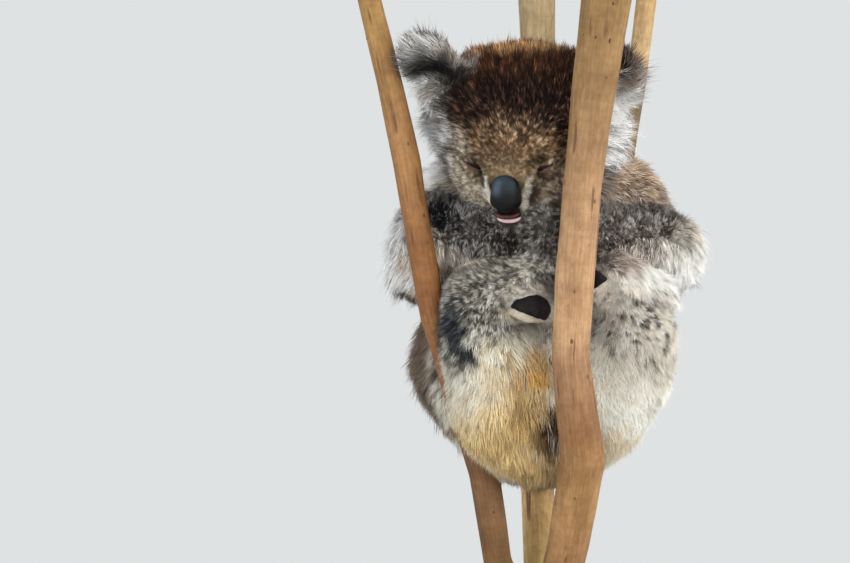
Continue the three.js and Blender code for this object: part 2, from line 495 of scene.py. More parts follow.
# ---- where things are


@dataclass
class HeadFrame:
    """The head's own axes: side towards its left, forward out of the face, and up."""

    EYE_FORWARD = 48.0 * MM     # the eyes in front of the middle of the skull
    EYE_UP = 7.0 * MM
    NOSE_FORWARD = 26.5 * MM    # the nose in front of the eyes, and below them
    NOSE_DOWN = 7.3 * MM

    origin: Array = field(init=False)
    axes: Array = field(init=False)

    def __post_init__(self) -> None:
        """Find the axes from the places of eyes and nose."""
        left, right, nose = (middle(n) for n in ("eye_left", "eye_right", "nose"))
        between = (left + right) / 2.0
        side = unit(left - right)
        ahead = nose - between
        ahead = unit(ahead - side * ahead.dot(side))
        over = np.cross(ahead, side)
        slant = math.atan2(-self.NOSE_DOWN, self.NOSE_FORWARD)
        forward = ahead * math.cos(slant) - over * math.sin(slant)
        up = ahead * math.sin(slant) + over * math.cos(slant)
        self.axes = np.stack([side, forward, up])
        self.origin = between - forward * self.EYE_FORWARD - up * self.EYE_UP

    def local(self, points: Array) -> Array:
        """Give places as millimetres to the side, forward and up from the middle of the skull."""
        return (points - self.origin) @ self.axes.T / MM

    def world(self, local: Array) -> Array:
        """Turn millimetres to the side, forward and up back into places."""
        return np.asarray(local) * MM @ self.axes + self.origin

    def turn(self, direction: Triple) -> Array:
        """Turn a direction to the side, forward and up into the model's axes."""
        return unit(np.asarray(direction) @ self.axes)


def middle(node: str) -> Array:
    """Give the middle of a CAD node's box."""
    low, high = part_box(node)
    return np.array((low + high) / 2.0)


def within(node: str, x: float, y: float, z: float) -> Array:
    """Give a place inside a CAD node's box, as shares of the way across it."""
    low, high = (np.array(corner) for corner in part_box(node))
    return low + (high - low) * np.array([x, y, z])


# ---- the coat's rules


class Tone(Enum):
    """Colours of the coat, at the roots and at the tips; dark roots are partly the hair's own bands,
    partly painted shade deep in the coat.
    """

    CROWN = (0x120804, 0x402719)
    CROWN_SIDE = (0x0E0A07, 0x2F2721)
    DARK_BROWN = (0x0C0705, 0x251813)
    TAN = (0x403225, 0x8F7156)
    BROW = (0x524436, 0xA9906D)
    # painted shade round and under the eyes
    EYE_SHADE = (0x43352B, 0x776251)
    LOWER_LID = (0x4A302A, 0x8A6656)
    # painted shade in the crease of the mouth
    MOUTH = (0x1A0B0A, 0x301614)
    CHIN = (0x1E1B1A, 0x4A4542)
    GOLD = (0x4A2C18, 0xB08458)
    RUST = (0x5A3A22, 0x9C6C44)
    EAR_PALE = (0x83736C, 0xD4C7BE)
    LID = (0x100A09, 0x332721)
    CHEEK = (0x746959, 0xB9A790)
    STRIP = (0xB8B2A3, 0xF9F4E1)
    # painted shade in the hollow of the ear
    EAR_CORE = (0x0C0C0C, 0x1C1C1C)
    EAR_TAN = (0x72594F, 0xAA8578)
    EAR_BACK = (0x534D48, 0xA0968B)
    SILVER = (0xDAD6CC, 0xF9F9F9)
    BRIGHT = (0xF3F3F0, 0xF9F9F9)
    NECK = (0x594E44, 0x978676)
    BACK = (0x4F4841, 0x8E8378)
    FLANK = (0x2A211B, 0x7A6A5A)
    UPPER_ARM = (0x61544A, 0xBCA48C)
    ARM = (0x39322E, 0xB4A499)
    FOREARM = (0x34312E, 0xC1B6AF)
    HAND = (0x403D39, 0xB8B2A8)
    FRINGE = (0xB0A290, 0xF2DFC5)
    SHIN = (0x423F38, 0xB3AC9D)
    SLATE = (0x131418, 0x3B3D41)
    ASH = (0xB4ABA0, 0xF9EEDF)
    PALE = (0xCCC6B3, 0xF8F3E2)
    CREAM = (0xC6A265, 0xE8C383)
    SAND = (0x967543, 0xC4A066)
    ORANGE = (0xCD8434, 0xF6B84F)
    BROWN = (0x1E0D04, 0x3D210D)
    WHITE = (0xF3EFCF, 0xF9F9F9)

    @property
    def root(self) -> Array:
        """The colour at the roots, in linear light."""
        return tone(self.value[0])

    @property
    def tip(self) -> Array:
        """The colour at the tips, in linear light."""
        return tone(self.value[1])


@dataclass(frozen=True)
class Lie:
    """How the coat lies on one part of the body, in millimetres and degrees.

    depth is how far the skin lies inside the tips, crowd is tufts a square millimetre, and flow is
    the way the hair points, on the animal's left side, in the model's axes. mottle is how far
    neighbouring tufts differ in lightness.
    """

    depth: float
    length: float
    lift: float
    width: float
    crowd: float
    flow: Triple
    colour: Tone
    mottle: float


LIES = {
    "skull": Lie(6, 7, 44, 0.5, 2.4, (0, 0, 1), Tone.CROWN_SIDE, 0.5),
    "lower_jaw": Lie(3, 4, 24, 0.4, 4, (0, 0.6, -1), Tone.CHIN, 0.4),
    "ear": Lie(10, 18, 36, 0.5, 2.4, (1, 0, 0.6), Tone.EAR_BACK, 0.4),
    "neck": Lie(11, 18, 38, 0.75, 0.9, (0, 0.6, -0.8), Tone.NECK, 0.35),
    "trunk": Lie(10, 15, 38, 0.75, 1.0, (0, 0.15, -1), Tone.BACK, 0.25),
    "upper_arm": Lie(9, 11, 50, 0.6, 1.5, (0.5, -0.2, -0.85), Tone.UPPER_ARM, 0.6),
    "forearm": Lie(6.5, 6, 66, 0.55, 3.2, (-0.75, -0.45, -0.35), Tone.FOREARM, 1.05),
    "hand": Lie(4.5, 4.6, 64, 0.5, 3.4, (-0.8, -0.4, -0.4), Tone.HAND, 0.7),
    "thigh": Lie(8, 9, 44, 0.55, 1.7, (0.1, 0, -1), Tone.PALE, 0.35),
    "shin": Lie(6, 6, 64, 0.55, 3.0, (0.45, 0.1, -0.85), Tone.SHIN, 0.6),
    "foot": Lie(4, 4.4, 52, 0.45, 3.4, (-0.8, -0.3, -0.3), Tone.ASH, 0.3),
}


SOLE_EDGES = {                  # lines across a pad's box, in shares of it: the sole lies between
    "pad_foot_right": (((0.0, 0.74), (1.0, 1.02)), ((0.0, 0.62), (0.6, 0.34))),
    "pad_foot_left": (((0.0, 1.05), (0.8, 0.48)), ((0.0, -0.1), (0.8, 0.42))),
}


def sole_edge(pad: str, points: Array) -> Array:
    """Measure how far places lie beyond the edges that the hair leaves a sole.

    Args:
        pad: The pad's CAD node.
        points: Places, one a row.

    Returns:
        Metres beyond the nearest edge, below 0 between the edges.
    """
    beyond = []
    for sign, ends in zip((1.0, -1.0), SOLE_EDGES[pad]):
        a, b = (within(pad, x, 0.5, z)[[0, 2]] for x, z in ends)
        across = unit(np.array([a[1] - b[1], b[0] - a[0]])[None])[0]
        beyond.append(sign * (points[:, [0, 2]] - a) @ across)
    return np.maximum(*beyond)


@dataclass(frozen=True)
class Fringe:
    """Longer hair on one place of the body.

    share places its middle in a node's box and radii are its reach in millimetres. The hair has
    this length in millimetres, stands off by lift in degrees and points along flow.
    """

    node: str
    share: Triple
    radii: Triple
    length: float
    lift: float
    flow: Triple

    def cover(self, points: Array) -> Array:
        """Weigh how far the fringe reaches each place, from 0 to 1."""
        offset = (points - within(self.node, *self.share)) / MM / np.array(self.radii)
        return smooth(1.3, 0.6, np.linalg.norm(offset, axis=1))


FRINGES = (
    Fringe("forearm_left", (0.8, 0.3, 0.14), (52, 60, 22), 21, 30, (0.15, -0.25, -1)),
    Fringe("shin_left", (0.8, 0.3, 0.85), (40, 60, 22), 15, 36, (0.2, -0.2, -1)),
    Fringe("forearm_right", (0.25, 0.35, 0.12), (40, 40, 14), 13, 36, (-0.1, -0.2, -1)),
    Fringe("upper_arm_right", (0.0, 0.4, 0.3), (22, 60, 70), 19, 40, (-0.7, -0.1, -0.7)),
    Fringe("upper_arm_left", (1.0, 0.4, 0.3), (22, 60, 70), 17, 40, (0.7, -0.1, -0.7)),
    Fringe("thigh_left", (1.0, 0.4, 0.4), (18, 60, 70), 14, 46, (0.6, -0.1, -0.8)),
    Fringe("trunk", (0.44, 0.0, 0.24), (52, 60, 62), 20, 36, (0, 0.1, -1)),
    Fringe("trunk", (0.0, 0.45, 0.4), (26, 60, 50), 18, 46, (-0.8, -0.2, -0.6)),
)


@dataclass(frozen=True)
class Patch:
    """A soft-edged marking on skin and coat.

    centre is in metres and radii in millimetres, along the model's axes; on the head both are
    millimetres along the head's own axes.
    """

    centre: Array
    radii: Triple
    colour: Tone
    strength: float = 1.0
    on_head: bool = False
    freckled: bool = False      # broken up into small spots

    EDGE = 0.5                  # how far the edge fades, as a share of the radii
    RAGGED = 0.3                # how far noise moves the edge

    def share(self, points: Array, head: HeadFrame, ragged: Array) -> Array:
        """Weigh how far the patch covers each place.

        Args:
            points: Places, one a row.
            head: The head's axes.
            ragged: Noise for each place, which breaks up the edge.

        Returns:
            A share from 0 to 1 for each place.
        """
        if self.on_head:
            offset = head.local(points) - self.centre
        else:
            offset = (points - self.centre) / MM
        far = np.linalg.norm(offset / np.array(self.radii), axis=1)
        far = far + ragged * self.RAGGED * smooth(0.0, 0.7, far)
        return self.strength * smooth(1.0 + self.EDGE, 1.0 - self.EDGE, far)


def head_patches() -> list[Patch]:
    """List the markings of the head, on both sides alike.

    Returns:
        The patches in the order in which they are laid.
    """
    def on(centre: Triple, radii: Triple, colour: Tone, strength: float = 1.0) -> Patch:
        """Place a marking by the head's millimetres."""
        return Patch(np.array(centre, float), radii, colour, strength, True)

    patches = [
        on((0, -20, 50), (90, 56, 60), Tone.CROWN),
        on((0, 20, 62), (62, 20, 22), Tone.DARK_BROWN, 0.9),
        on((0, -35, 62), (64, 12, 16), Tone.GOLD, 0.9),
        on((5, 62, 36), (48, 26, 24), Tone.TAN),
        on((-45, 44, 21), (15, 24, 15), Tone.CHEEK, 0.85),
        on((50, 44, 22), (15, 24, 15), Tone.TAN, 0.85),
        on((0, 66, 18), (36, 22, 12), Tone.BROW, 0.9),
        # painted shade along the mouth's crease
        on((0, 80, -21), (13, 12, 4), Tone.MOUTH),
    ]
    for side, pale in ((1, 0.55), (-1, 0.75)):
        patches += [
            on((side * 46, 46, -14), (26, 30, 24), Tone.CHEEK),
            # painted shade round each eye
            on((side * 35, 56, 4), (13, 16, 7), Tone.EYE_SHADE, 0.25),
            on((side * 92, 0, 4), (31, 60, 52), Tone.BRIGHT),
            on((side * 20.7, 64.5, 12.6), (1.9, 8, 7), Tone.STRIP, 0.8 * pale),
            on((side * 17.9, 71, 1), (1.9, 8, 8), Tone.STRIP, pale),
            on((side * 15.3, 75.5, -6), (2.0, 8, 7), Tone.STRIP, pale),
            on((side * 13.5, 77, -14), (3.0, 8, 6), Tone.STRIP, pale),
        ]
    patches += [
        on((-22, 68, -10), (9, 12, 7), Tone.STRIP, 0.6),
        on((-17, 72, -2), (2.2, 9, 14), Tone.STRIP, 0.8),
        # more painted shade round and under the eye on the head's left side
        on((35, 56, 4), (13, 16, 7), Tone.EYE_SHADE, 0.4),
        on((36, 54, -6), (20, 24, 16), Tone.EYE_SHADE, 0.3),
        on((31, 57, -21), (11, 10, 2.2), Tone.STRIP, 0.6),
    ]
    return patches


def body_patches() -> list[Patch]:
    """List the markings of body, limbs and ears.

    Returns:
        The patches in the order in which they are laid.
    """
    def on(node: str, share: Triple, radii: Triple, colour: Tone, strength: float = 1.0,
           freckled: bool = False) -> Patch:
        """Place a marking by shares of a node's box."""
        return Patch(within(node, *share), radii, colour, strength, freckled=freckled)

    return [
        on("trunk", (0.5, 0.0, 0.28), (78, 70, 84), Tone.PALE),
        on("trunk", (0.34, 0.0, 0.2), (62, 70, 56), Tone.CREAM, 0.75),
        on("trunk", (0.45, 0.1, 0.08), (50, 60, 30), Tone.CREAM, 0.8),
        on("trunk", (0.46, 0.04, 0.27), (24, 50, 36), Tone.SAND, 0.8),
        on("trunk", (0.49, 0.06, 0.385), (11, 40, 15), Tone.ORANGE, 0.85),
        on("trunk", (0.55, 0.04, 0.2), (16, 40, 18), Tone.BROWN),
        on("thigh_right", (0.18, 0.15, 0.5), (26, 60, 26), Tone.PALE, 0.9),
        on("thigh_right", (0.32, 0.15, 0.26), (42, 60, 26), Tone.CREAM, 0.5),
        on("thigh_right", (0.4, 0.1, 0.9), (42, 50, 18), Tone.SHIN, 0.85),
        on("thigh_left", (0.7, 0.05, 0.66), (40, 50, 26), Tone.ASH),
        on("thigh_left", (0.55, 0.05, 0.72), (7, 40, 4), Tone.SLATE, 0.9),
        on("thigh_left", (0.3, 0.05, 0.75), (9, 40, 6), Tone.SLATE, 0.8),
        on("thigh_left", (0.6, 0.14, 0.3), (38, 60, 38), Tone.WHITE),
        on("thigh_left", (0.52, 0.2, 0.16), (24, 60, 14), Tone.CREAM, 0.5),
        on("thigh_left", (1.0, 0.5, 0.5), (12, 40, 60), Tone.ASH, 0.7),
        on("upper_arm_left", (0.75, 0.3, 0.1), (60, 70, 26), Tone.WHITE),
        on("upper_arm_right", (0.05, 0.3, 0.22), (31, 60, 50), Tone.BRIGHT),
        on("upper_arm_right", (0.24, 0.3, 0.0), (18, 50, 15), Tone.RUST, 0.8),
        on("thigh_right", (0.0, 0.3, 0.6), (6, 60, 60), Tone.ASH, 0.8),
        on("thigh_right", (0.11, 0.13, 0.85), (12, 60, 14), Tone.SLATE, 0.9),
        on("thigh_right", (0.18, 0.08, 0.755), (14, 60, 19), Tone.SLATE, 0.97),
        on("thigh_right", (0.25, 0.06, 0.7), (10, 60, 9), Tone.SLATE, 0.95),
        on("shin_right", (0.1, 0.25, 0.3), (11, 50, 20), Tone.SLATE, 0.7),
        on("forearm_right", (0.29, 0.38, 0.72), (15, 50, 32), Tone.SLATE, 0.97),
        on("forearm_left", (0.7, 0.4, 0.6), (60, 70, 40), Tone.ARM, 0.9),
        on("forearm_left", (0.93, 0.5, 0.78), (9, 60, 22), Tone.FRINGE, 0.6),
        on("hand_left", (0.15, 0.2, 0.42), (22, 50, 15), Tone.DARK_BROWN, 0.7),
        on("forearm_right", (0.68, 0.1, 0.33), (15, 50, 14), Tone.DARK_BROWN, 0.65),
        on("forearm_left", (0.5, 0.3, 0.03), (66, 70, 9), Tone.FRINGE, 0.6),
        on("forearm_left", (0.92, 0.5, 0.16), (44, 70, 27), Tone.WHITE),
        on("shin_left", (0.6, 0.3, 0.4), (70, 70, 60), Tone.ASH, 0.75),
        on("shin_left", (0.92, 0.4, 0.76), (50, 60, 16), Tone.WHITE),
        on("shin_left", (0.34, 0.1, 0.94), (48, 60, 15), Tone.ARM),
        on("thigh_left", (0.6, 0.1, 0.72), (52, 50, 28), Tone.SLATE, 0.65, True),
        on("thigh_left", (0.95, 0.3, 0.5), (20, 50, 50), Tone.SLATE, 0.45, True),
        on("shin_left", (0.5, 0.2, 0.4), (50, 60, 26), Tone.SLATE, 0.5, True),
        on("thigh_right", (0.16, 0.1, 0.76), (28, 60, 34), Tone.SLATE, 0.85, True),
        on("shin_right", (0.4, 0.2, 0.5), (60, 60, 40), Tone.SLATE, 0.4, True),
        on("pad_foot_right", (0.15, 0.0, 0.4), (12, 30, 5), Tone.FRINGE, 0.95),
        on("pad_foot_right", (0.6, 0.0, 0.12), (20, 30, 7), Tone.FRINGE, 0.95),
        on("upper_arm_left", (1.0, 0.3, 0.35), (14, 60, 70), Tone.WHITE, 0.55),
        on("trunk", (0.03, 0.5, 0.4), (42, 42, 62), Tone.FLANK),
        on("upper_arm_right", (0.36, 0.2, 0.92), (22, 50, 22), Tone.BRIGHT, 0.9),
        on("forearm_right", (0.2, 0.4, 0.22), (24, 40, 15), Tone.FRINGE, 0.9),
        on("forearm_right", (0.42, 0.4, 0.06), (36, 40, 9), Tone.FRINGE, 0.6),
        on("ear_right", (0.6, 0.1, 0.86), (46, 60, 22), Tone.EAR_PALE, 0.7),
        on("ear_right", (0.84, 0.2, 0.75), (18, 40, 13), Tone.EAR_TAN, 0.6),
        on("ear_right", (0.72, 0.2, 0.27), (20, 60, 17), Tone.CROWN_SIDE),
        # painted shade in the hollow of the ear
        on("ear_right", (0.5, 0.05, 0.51), (20, 50, 15), Tone.EAR_CORE),
        on("ear_right", (0.42, 0.3, 1.12), (58, 60, 21), Tone.SILVER),
        on("ear_right", (0.12, 0.6, 0.12), (33, 60, 14), Tone.BRIGHT),
        on("ear_left", (0.75, 0.1, 0.6), (22, 40, 16), Tone.EAR_TAN, 0.6),
        on("ear_left", (0.58, 0.1, 0.76), (20, 40, 11), Tone.CROWN_SIDE, 0.85),
        on("ear_left", (1.0, 0.3, 0.6), (10, 60, 40), Tone.SILVER),
        on("ear_left", (0.6, 0.3, 0.2), (40, 60, 19), Tone.BRIGHT),
    ]


class Markings:
    """The colours of skin and coat, worked out from the place on the body."""

    def __init__(self, head: HeadFrame) -> None:
        """Gather the patches of head and body.

        Args:
            head: The head's own frame.
        """
        self.head = head
        self.face = head_patches()
        self.body = body_patches()
        self.ragged = Noise(11, 9 * MM)
        self.cloudy = Noise(12, 22 * MM)
        self.peppery = Noise(13, 4 * MM)
        self.freckles = Noise(14, 4 * MM)

    def colours(self, points: Array, root: Array, tip: Array, head_share: Array) -> tuple:
        """Lay the patches over the plain colours of each part.

        Args:
            points: Places, one a row.
            root: Colour at the roots there, before any patch.
            tip: Colour at the tips there, before any patch.
            head_share: How far each place belongs to the head.

        Returns:
            Root and tip colours, one row for each place.
        """
        ragged = self.ragged(points) + 0.5 * self.cloudy(points)
        ragged += 2.2 * self.peppery(points) * (1.0 - head_share)
        spots = smooth(0.18, 0.42, self.freckles(points))
        for patches, share in ((self.face, head_share), (self.body, 1.0 - head_share)):
            for patch in patches:
                cover = patch.share(points, self.head, ragged) * share
                if patch.freckled:
                    cover = cover * spots
                root = mix(root, patch.colour.root, cover)
                tip = mix(tip, patch.colour.tip, cover)
        cloud = 1.0 + 0.12 * self.cloudy(points)[:, None]
        return root * cloud, tip * cloud


# ---- skin


class Skin:
    """The koala's skin: one closed surface inside the flesh nodes by the depth of the coat."""

    VOXEL = 2.0 * MM
    JOIN = 1.0 * MM             # how much each part is grown so that neighbours meet
    BAND = 18.0 * MM
    FILL = 13.0 * MM            # half the width of the grooves that the stems leave in the flesh
    CLEAR = 1.3 * MM            # from the skin to a stem
    CREASE = 3.0 * MM           # how softly limbs meet each other
    LIMBS = (                   # nodes that flow into each other, and how softly
        (("neck", "trunk", "upper_arm_left", "upper_arm_right", "thigh_left", "thigh_right"),
         16.0 * MM),
        (("forearm_left", "hand_left"), 8.0 * MM),
        (("forearm_right", "hand_right"), 8.0 * MM),
        (("shin_left", "foot_left"), 10.0 * MM),
        (("shin_right", "foot_right"), 10.0 * MM),
        (("skull", "ear_left", "ear_right", "lower_jaw"), 5.0 * MM),
    )
    MARGIN = 14.0 * MM
    ROUNDING = 4                # passes that round creases off
    FADE = 16                   # passes that blend the parts' plain colours
    RUFF_DEPTH = 9.0            # extra depth under the long white hair of the cheeks
    FACE_DEPTH = 2.4
    CROWN_DEPTH = 6.5

    EYE_BALL = 8.5              # all millimetres from here on
    LID = 1.7                   # thickness of the eyelids
    LID_REACH = 15.0
    SLIT = 8.8                  # half the length of the gap between the lids
    GAP = 1.0                   # half its height
    SLIT_SLANT = 29.0           # degrees, outer corner up
    GAZE = (-0.19, 0.81, 0.53)  # from the middle of the eye to the middle of the gap
    FACE = (58.0, 34.0, -48.0, 34.0)    # half the width, back, foot and top of the finer mesh
    FINEST = (34.0, 6.0, 15.0)  # side and height of the finest mesh round an eye, and its radius
    EYE_AT = (32.5, 48.0, 7.0)
    NOSE_AT = (0.0, 78.0, -6.0)
    FROM_NOSE = {               # the coat's rules by the distance from the nose
        "length": ((14, 30, 50, 75, 110), (1.8, 2.8, 3.8, 6.0, 7.5)),
        "width": ((14, 40, 75, 110), (0.30, 0.38, 0.48, 0.58)),
        "crowd": ((14, 40, 75, 110), (9.0, 7.0, 4.0, 2.2)),
        "lift": ((14, 40, 75), (30, 50, 60)),
        "mottle": ((14, 40, 75), (0.25, 0.38, 0.8)),
    }

    def __init__(self, nodes: dict, flesh: list[str], head: HeadFrame) -> None:
        """Note the flesh nodes and the box round them.

        Args:
            nodes: The CAD nodes by name.
            flesh: The names of those that the skin joins.
            head: The head's own frame.
        """
        self.head = head
        self.names = flesh
        self.kinds = [n.replace("_left", "").replace("_right", "") for n in flesh]
        self.parts = [mesh_arrays(nodes[n].data) for n in flesh]
        every = np.concatenate([points for points, _ in self.parts])
        self.grid = Grid.around(every, self.MARGIN, self.VOXEL)
        self.sides = np.array([-1.0 if n.endswith("_right") else 1.0 for n in flesh])

    def rule(self, name: str) -> Array:
        """Give one number of the coat's rules for every flesh node."""
        return np.array([getattr(LIES[k], name) for k in self.kinds], float)

    def merge(self) -> Array:
        """Join the flesh nodes: smoothly along a limb, and with a crease between limbs.

        Returns:
            The distance from the flesh at every voxel.
        """
        grid = self.grid
        union = np.full(grid.count, self.BAND, np.float32)
        self.nearest = np.zeros(grid.count, np.int16)
        best = union.copy()
        for limb, softness in self.LIMBS:
            whole = np.full(grid.count, self.BAND, np.float32)
            for i, name in enumerate(self.names):
                if name in limb:
                    apart = grid.distance(*self.parts[i], self.BAND) - np.float32(self.JOIN)
                    closer = apart < best
                    self.nearest[closer] = i
                    best = np.minimum(best, apart)
                    whole = soft_union(whole, apart, softness)
            union = soft_union(union, whole, self.CREASE)
        return union

    def grow(self, stems: Array, bare: Array, soles: Array) -> None:
        """Join the parts, sink the surface by the coat's depth and round it.

        Hollows that stems, eyes and bare skin leave are filled first, or the coat's depth would
        widen them.

        Args:
            stems: The distance from the perch at every voxel.
            bare: The distance from eyes and nose.
            soles: The distance from the soles.
        """
        grid = self.grid
        union = np.minimum(self.merge(), np.minimum(bare, soles))
        wide, faces = grid.surface(union - self.FILL)
        closed = grid.distance(wide, triangles(faces), self.BAND) + np.float32(self.FILL)
        union = np.minimum(union, np.maximum(stems - np.float32(self.CLEAR), closed))
        shell = largest_shell(*grid.surface(union))
        body = grid.distance(shell[0], triangles(shell[1]), self.BAND)
        depth = self.rule("depth")[self.nearest].astype(np.float32)
        depth = self.head_depth(depth, self.nearest) * np.float32(MM)
        sunk = grid.blur(body + grid.blur(depth, 5), self.ROUNDING)
        self.field = np.maximum(sunk, np.float32(self.CLEAR) - stems)
        spots = grid.places()
        edges = [sole_edge(pad, spots).reshape(grid.count) for pad in SOLE_EDGES]
        kept = np.maximum(soles, np.minimum(*edges))
        self.stems, self.bare = stems, np.minimum(bare, kept)
        points, quads = largest_shell(*grid.surface(self.field))
        self.piece = closed_object("skin", points, quads)
        self.refine(self.piece)

    def head_depth(self, depth: Array, nearest: Array) -> Array:
        """Thin the coat over the face and deepen it under crown and ruff.

        Args:
            depth: The coat's depth in millimetres at every voxel.
            nearest: The index of the flesh node nearest to every voxel.

        Returns:
            The depth with the head's own values in it.
        """
        skull = np.flatnonzero((nearest == self.names.index("skull")).ravel())
        side, forward, up = self.head.local(self.grid.places()[skull]).T
        deep = self.FACE_DEPTH + (self.CROWN_DEPTH - self.FACE_DEPTH) * smooth(62, 20, forward)
        deep += self.RUFF_DEPTH * smooth(52, 72, np.abs(side)) * smooth(48, 28, up)
        flat = depth.ravel()
        flat[skull] = deep
        return flat.reshape(depth.shape)

    def refine(self, piece: Piece) -> None:
        """Divide the faces of the face more finely, and those by the eyes and mouth once more.

        Args:
            piece: The skin, which is changed.
        """
        work = bmesh.new()
        work.from_mesh(piece.data)
        for near_eyes in (False, True):
            spots = np.array([f.calc_center_median() for f in work.faces])
            side, forward, up = self.head.local(spots).T
            if near_eyes:
                aside, height, radius = self.FINEST
                chosen = (forward > 40) & (np.hypot(np.abs(side) - aside, up - height) < radius)
            else:
                wide, back, foot, top = self.FACE
                chosen = (forward > back) & (np.abs(side) < wide) & (up > foot) & (up < top)
            work.faces.ensure_lookup_table()
            edges = {e for i in np.flatnonzero(chosen) for e in work.faces[i].edges}
            bmesh.ops.subdivide_edges(work, edges=list(edges), cuts=1, use_grid_fill=True)
        bmesh.ops.triangulate(work, faces=[f for f in work.faces if len(f.verts) > 4])
        work.to_mesh(piece.data)
        work.free()
        smooth_faces(piece.data)

    def eye_axes(self, side: int) -> Array:
        """Give one eye's axes in the head's frame: along the slit outwards, out of the eye, up.

        Args:
            side: 1 for the left eye, -1 for the right.

        Returns:
            Three unit vectors, one a row.
        """
        gaze = unit(np.array(self.GAZE) * [side, 1.0, 1.0])
        slant = math.radians(self.SLIT_SLANT)
        along = np.array([side * math.cos(slant), 0.0, math.sin(slant)])
        along = unit(along - gaze * along.dot(gaze))
        up = np.cross(along, gaze) * side
        return np.stack([along, gaze, -up if up[2] < 0 else up])

    def eye_places(self, local: Array, side: int) -> tuple[Array, Array, Array, Array]:
        """Measure places from one eye.

        Args:
            local: Places in the head's millimetres.
            side: 1 for the left eye, -1 for the right.

        Returns:
            Distances along the slit outwards, out of the eye and up, and the height above the
            slit's middle line as a share of half the gap there.
        """
        centre = np.array(self.EYE_AT) * [side, 1.0, 1.0]
        along, out, up = ((local - centre) @ self.eye_axes(side).T).T
        return along, out, up, np.abs(up - self.slit_line(along)) / self.slit_gap(along)

    def slit_line(self, along: Array) -> Array:
        """Give the height of the slit's middle line: it sags a little between the corners."""
        return 0.016 * along**2 - 0.6

    def slit_gap(self, along: Array) -> Array:
        """Give half the slit's height, which is greatest towards the inner corner."""
        t = along / self.SLIT
        return np.maximum(self.GAP * (1.0 - t**2) * (1.0 - 0.4 * t), 0.05)

    def mouth_gap(self, side: Array, up: Array) -> Array:
        """Give how far places lie above the line of the mouth, which sinks to the sides."""
        return up + 21.0 + 0.012 * side**2

    def shape_face(self, local: Array) -> Array:
        """Press lids, sockets, the seat of the nose and the mouth into the face.

        Args:
            local: The skin's vertices in the head's millimetres.

        Returns:
            The vertices after shaping.
        """
        for side in (1, -1):
            along, out, up, gap = self.eye_places(local, side)
            off_axis = np.hypot(along, up * 1.15)
            near = smooth(self.LID_REACH, 8.5, off_axis) * (out > -5.0)
            ball = self.EYE_BALL + self.LID
            dome = np.sqrt(np.maximum(ball**2 - np.minimum(off_axis, ball - 0.5) ** 2, 0.0))
            between = np.abs(along) < self.SLIT
            target = dome - 3.4 * smooth(1.2, 0.8, gap) * between
            target += 0.5 * np.exp(-((gap - 1.9) ** 2) / 0.5) * between
            local = local + ((target - out) * near)[:, None] * self.eye_axes(side)[1]
        side, forward, up = local.T
        crease = np.exp(-((self.mouth_gap(side, up) / 1.6) ** 2))
        crease *= smooth(40, 15, np.abs(side)) * smooth(52, 66, forward)
        local = local - np.stack([0 * side, 1.6 * crease, 0 * side], axis=1)
        return local

    def finish(self, markings: Markings, material: Finish) -> None:
        """Shape the face, work out the coat's rules everywhere and paint the skin.

        Args:
            markings: What colours the coat.
            material: The skin's own finish.
        """
        mesh = self.piece.data
        points, faces = mesh_arrays(mesh)
        local = self.head.local(points)
        head_near = (local[:, 1] > 30) & (np.abs(local[:, 0]) < 60)
        local[head_near] = self.shape_face(local[head_near])
        self.points, self.faces = self.head.world(local), faces
        move_vertices(mesh, self.points)
        self.normals = mesh_normals(mesh).astype(float)
        self.weigh()
        self.lay(markings)
        # the skin takes mostly the roots' colour, with their painted shade
        paint(mesh, "pelt", self.root * 0.8 + self.tip * 0.2)
        finish_piece(self.piece, material, Slot.COAT, *self.names)

    def weigh(self) -> None:
        """Work out how far each vertex belongs to each part, blended over the seams."""
        index = np.rint((self.points - self.grid.low) / self.VOXEL).astype(int)
        index = np.clip(index, 0, np.array(self.grid.count) - 1)
        owner = self.nearest[tuple(index.T)]
        weights = np.eye(len(self.names))[owner]
        ends = sides_of(self.faces)
        here, there = np.concatenate([ends, ends[:, ::-1]]).T
        links = np.maximum(np.bincount(here, minlength=len(self.points)), 1)
        self.here, self.there, self.links = here, there, links
        self.weights = self.even_out(weights, 10)

    def even_out(self, values: Array, passes: int) -> Array:
        """Average values with those of neighbouring vertices, a number of times.

        Args:
            values: One row for each vertex.
            passes: How many times.

        Returns:
            The averaged rows.
        """
        for _ in range(passes):
            total = np.stack([
                np.bincount(self.here, column[self.there], len(self.points)) for column in values.T
            ], axis=1)
            values = 0.5 * values + 0.5 * total / self.links[:, None]
        return values

    def change(self, share: Array, **values: Array) -> None:
        """Move some of the coat's rules towards new values, by a share for each vertex."""
        for name, value in values.items():
            setattr(self, name, mix(getattr(self, name), value, share))

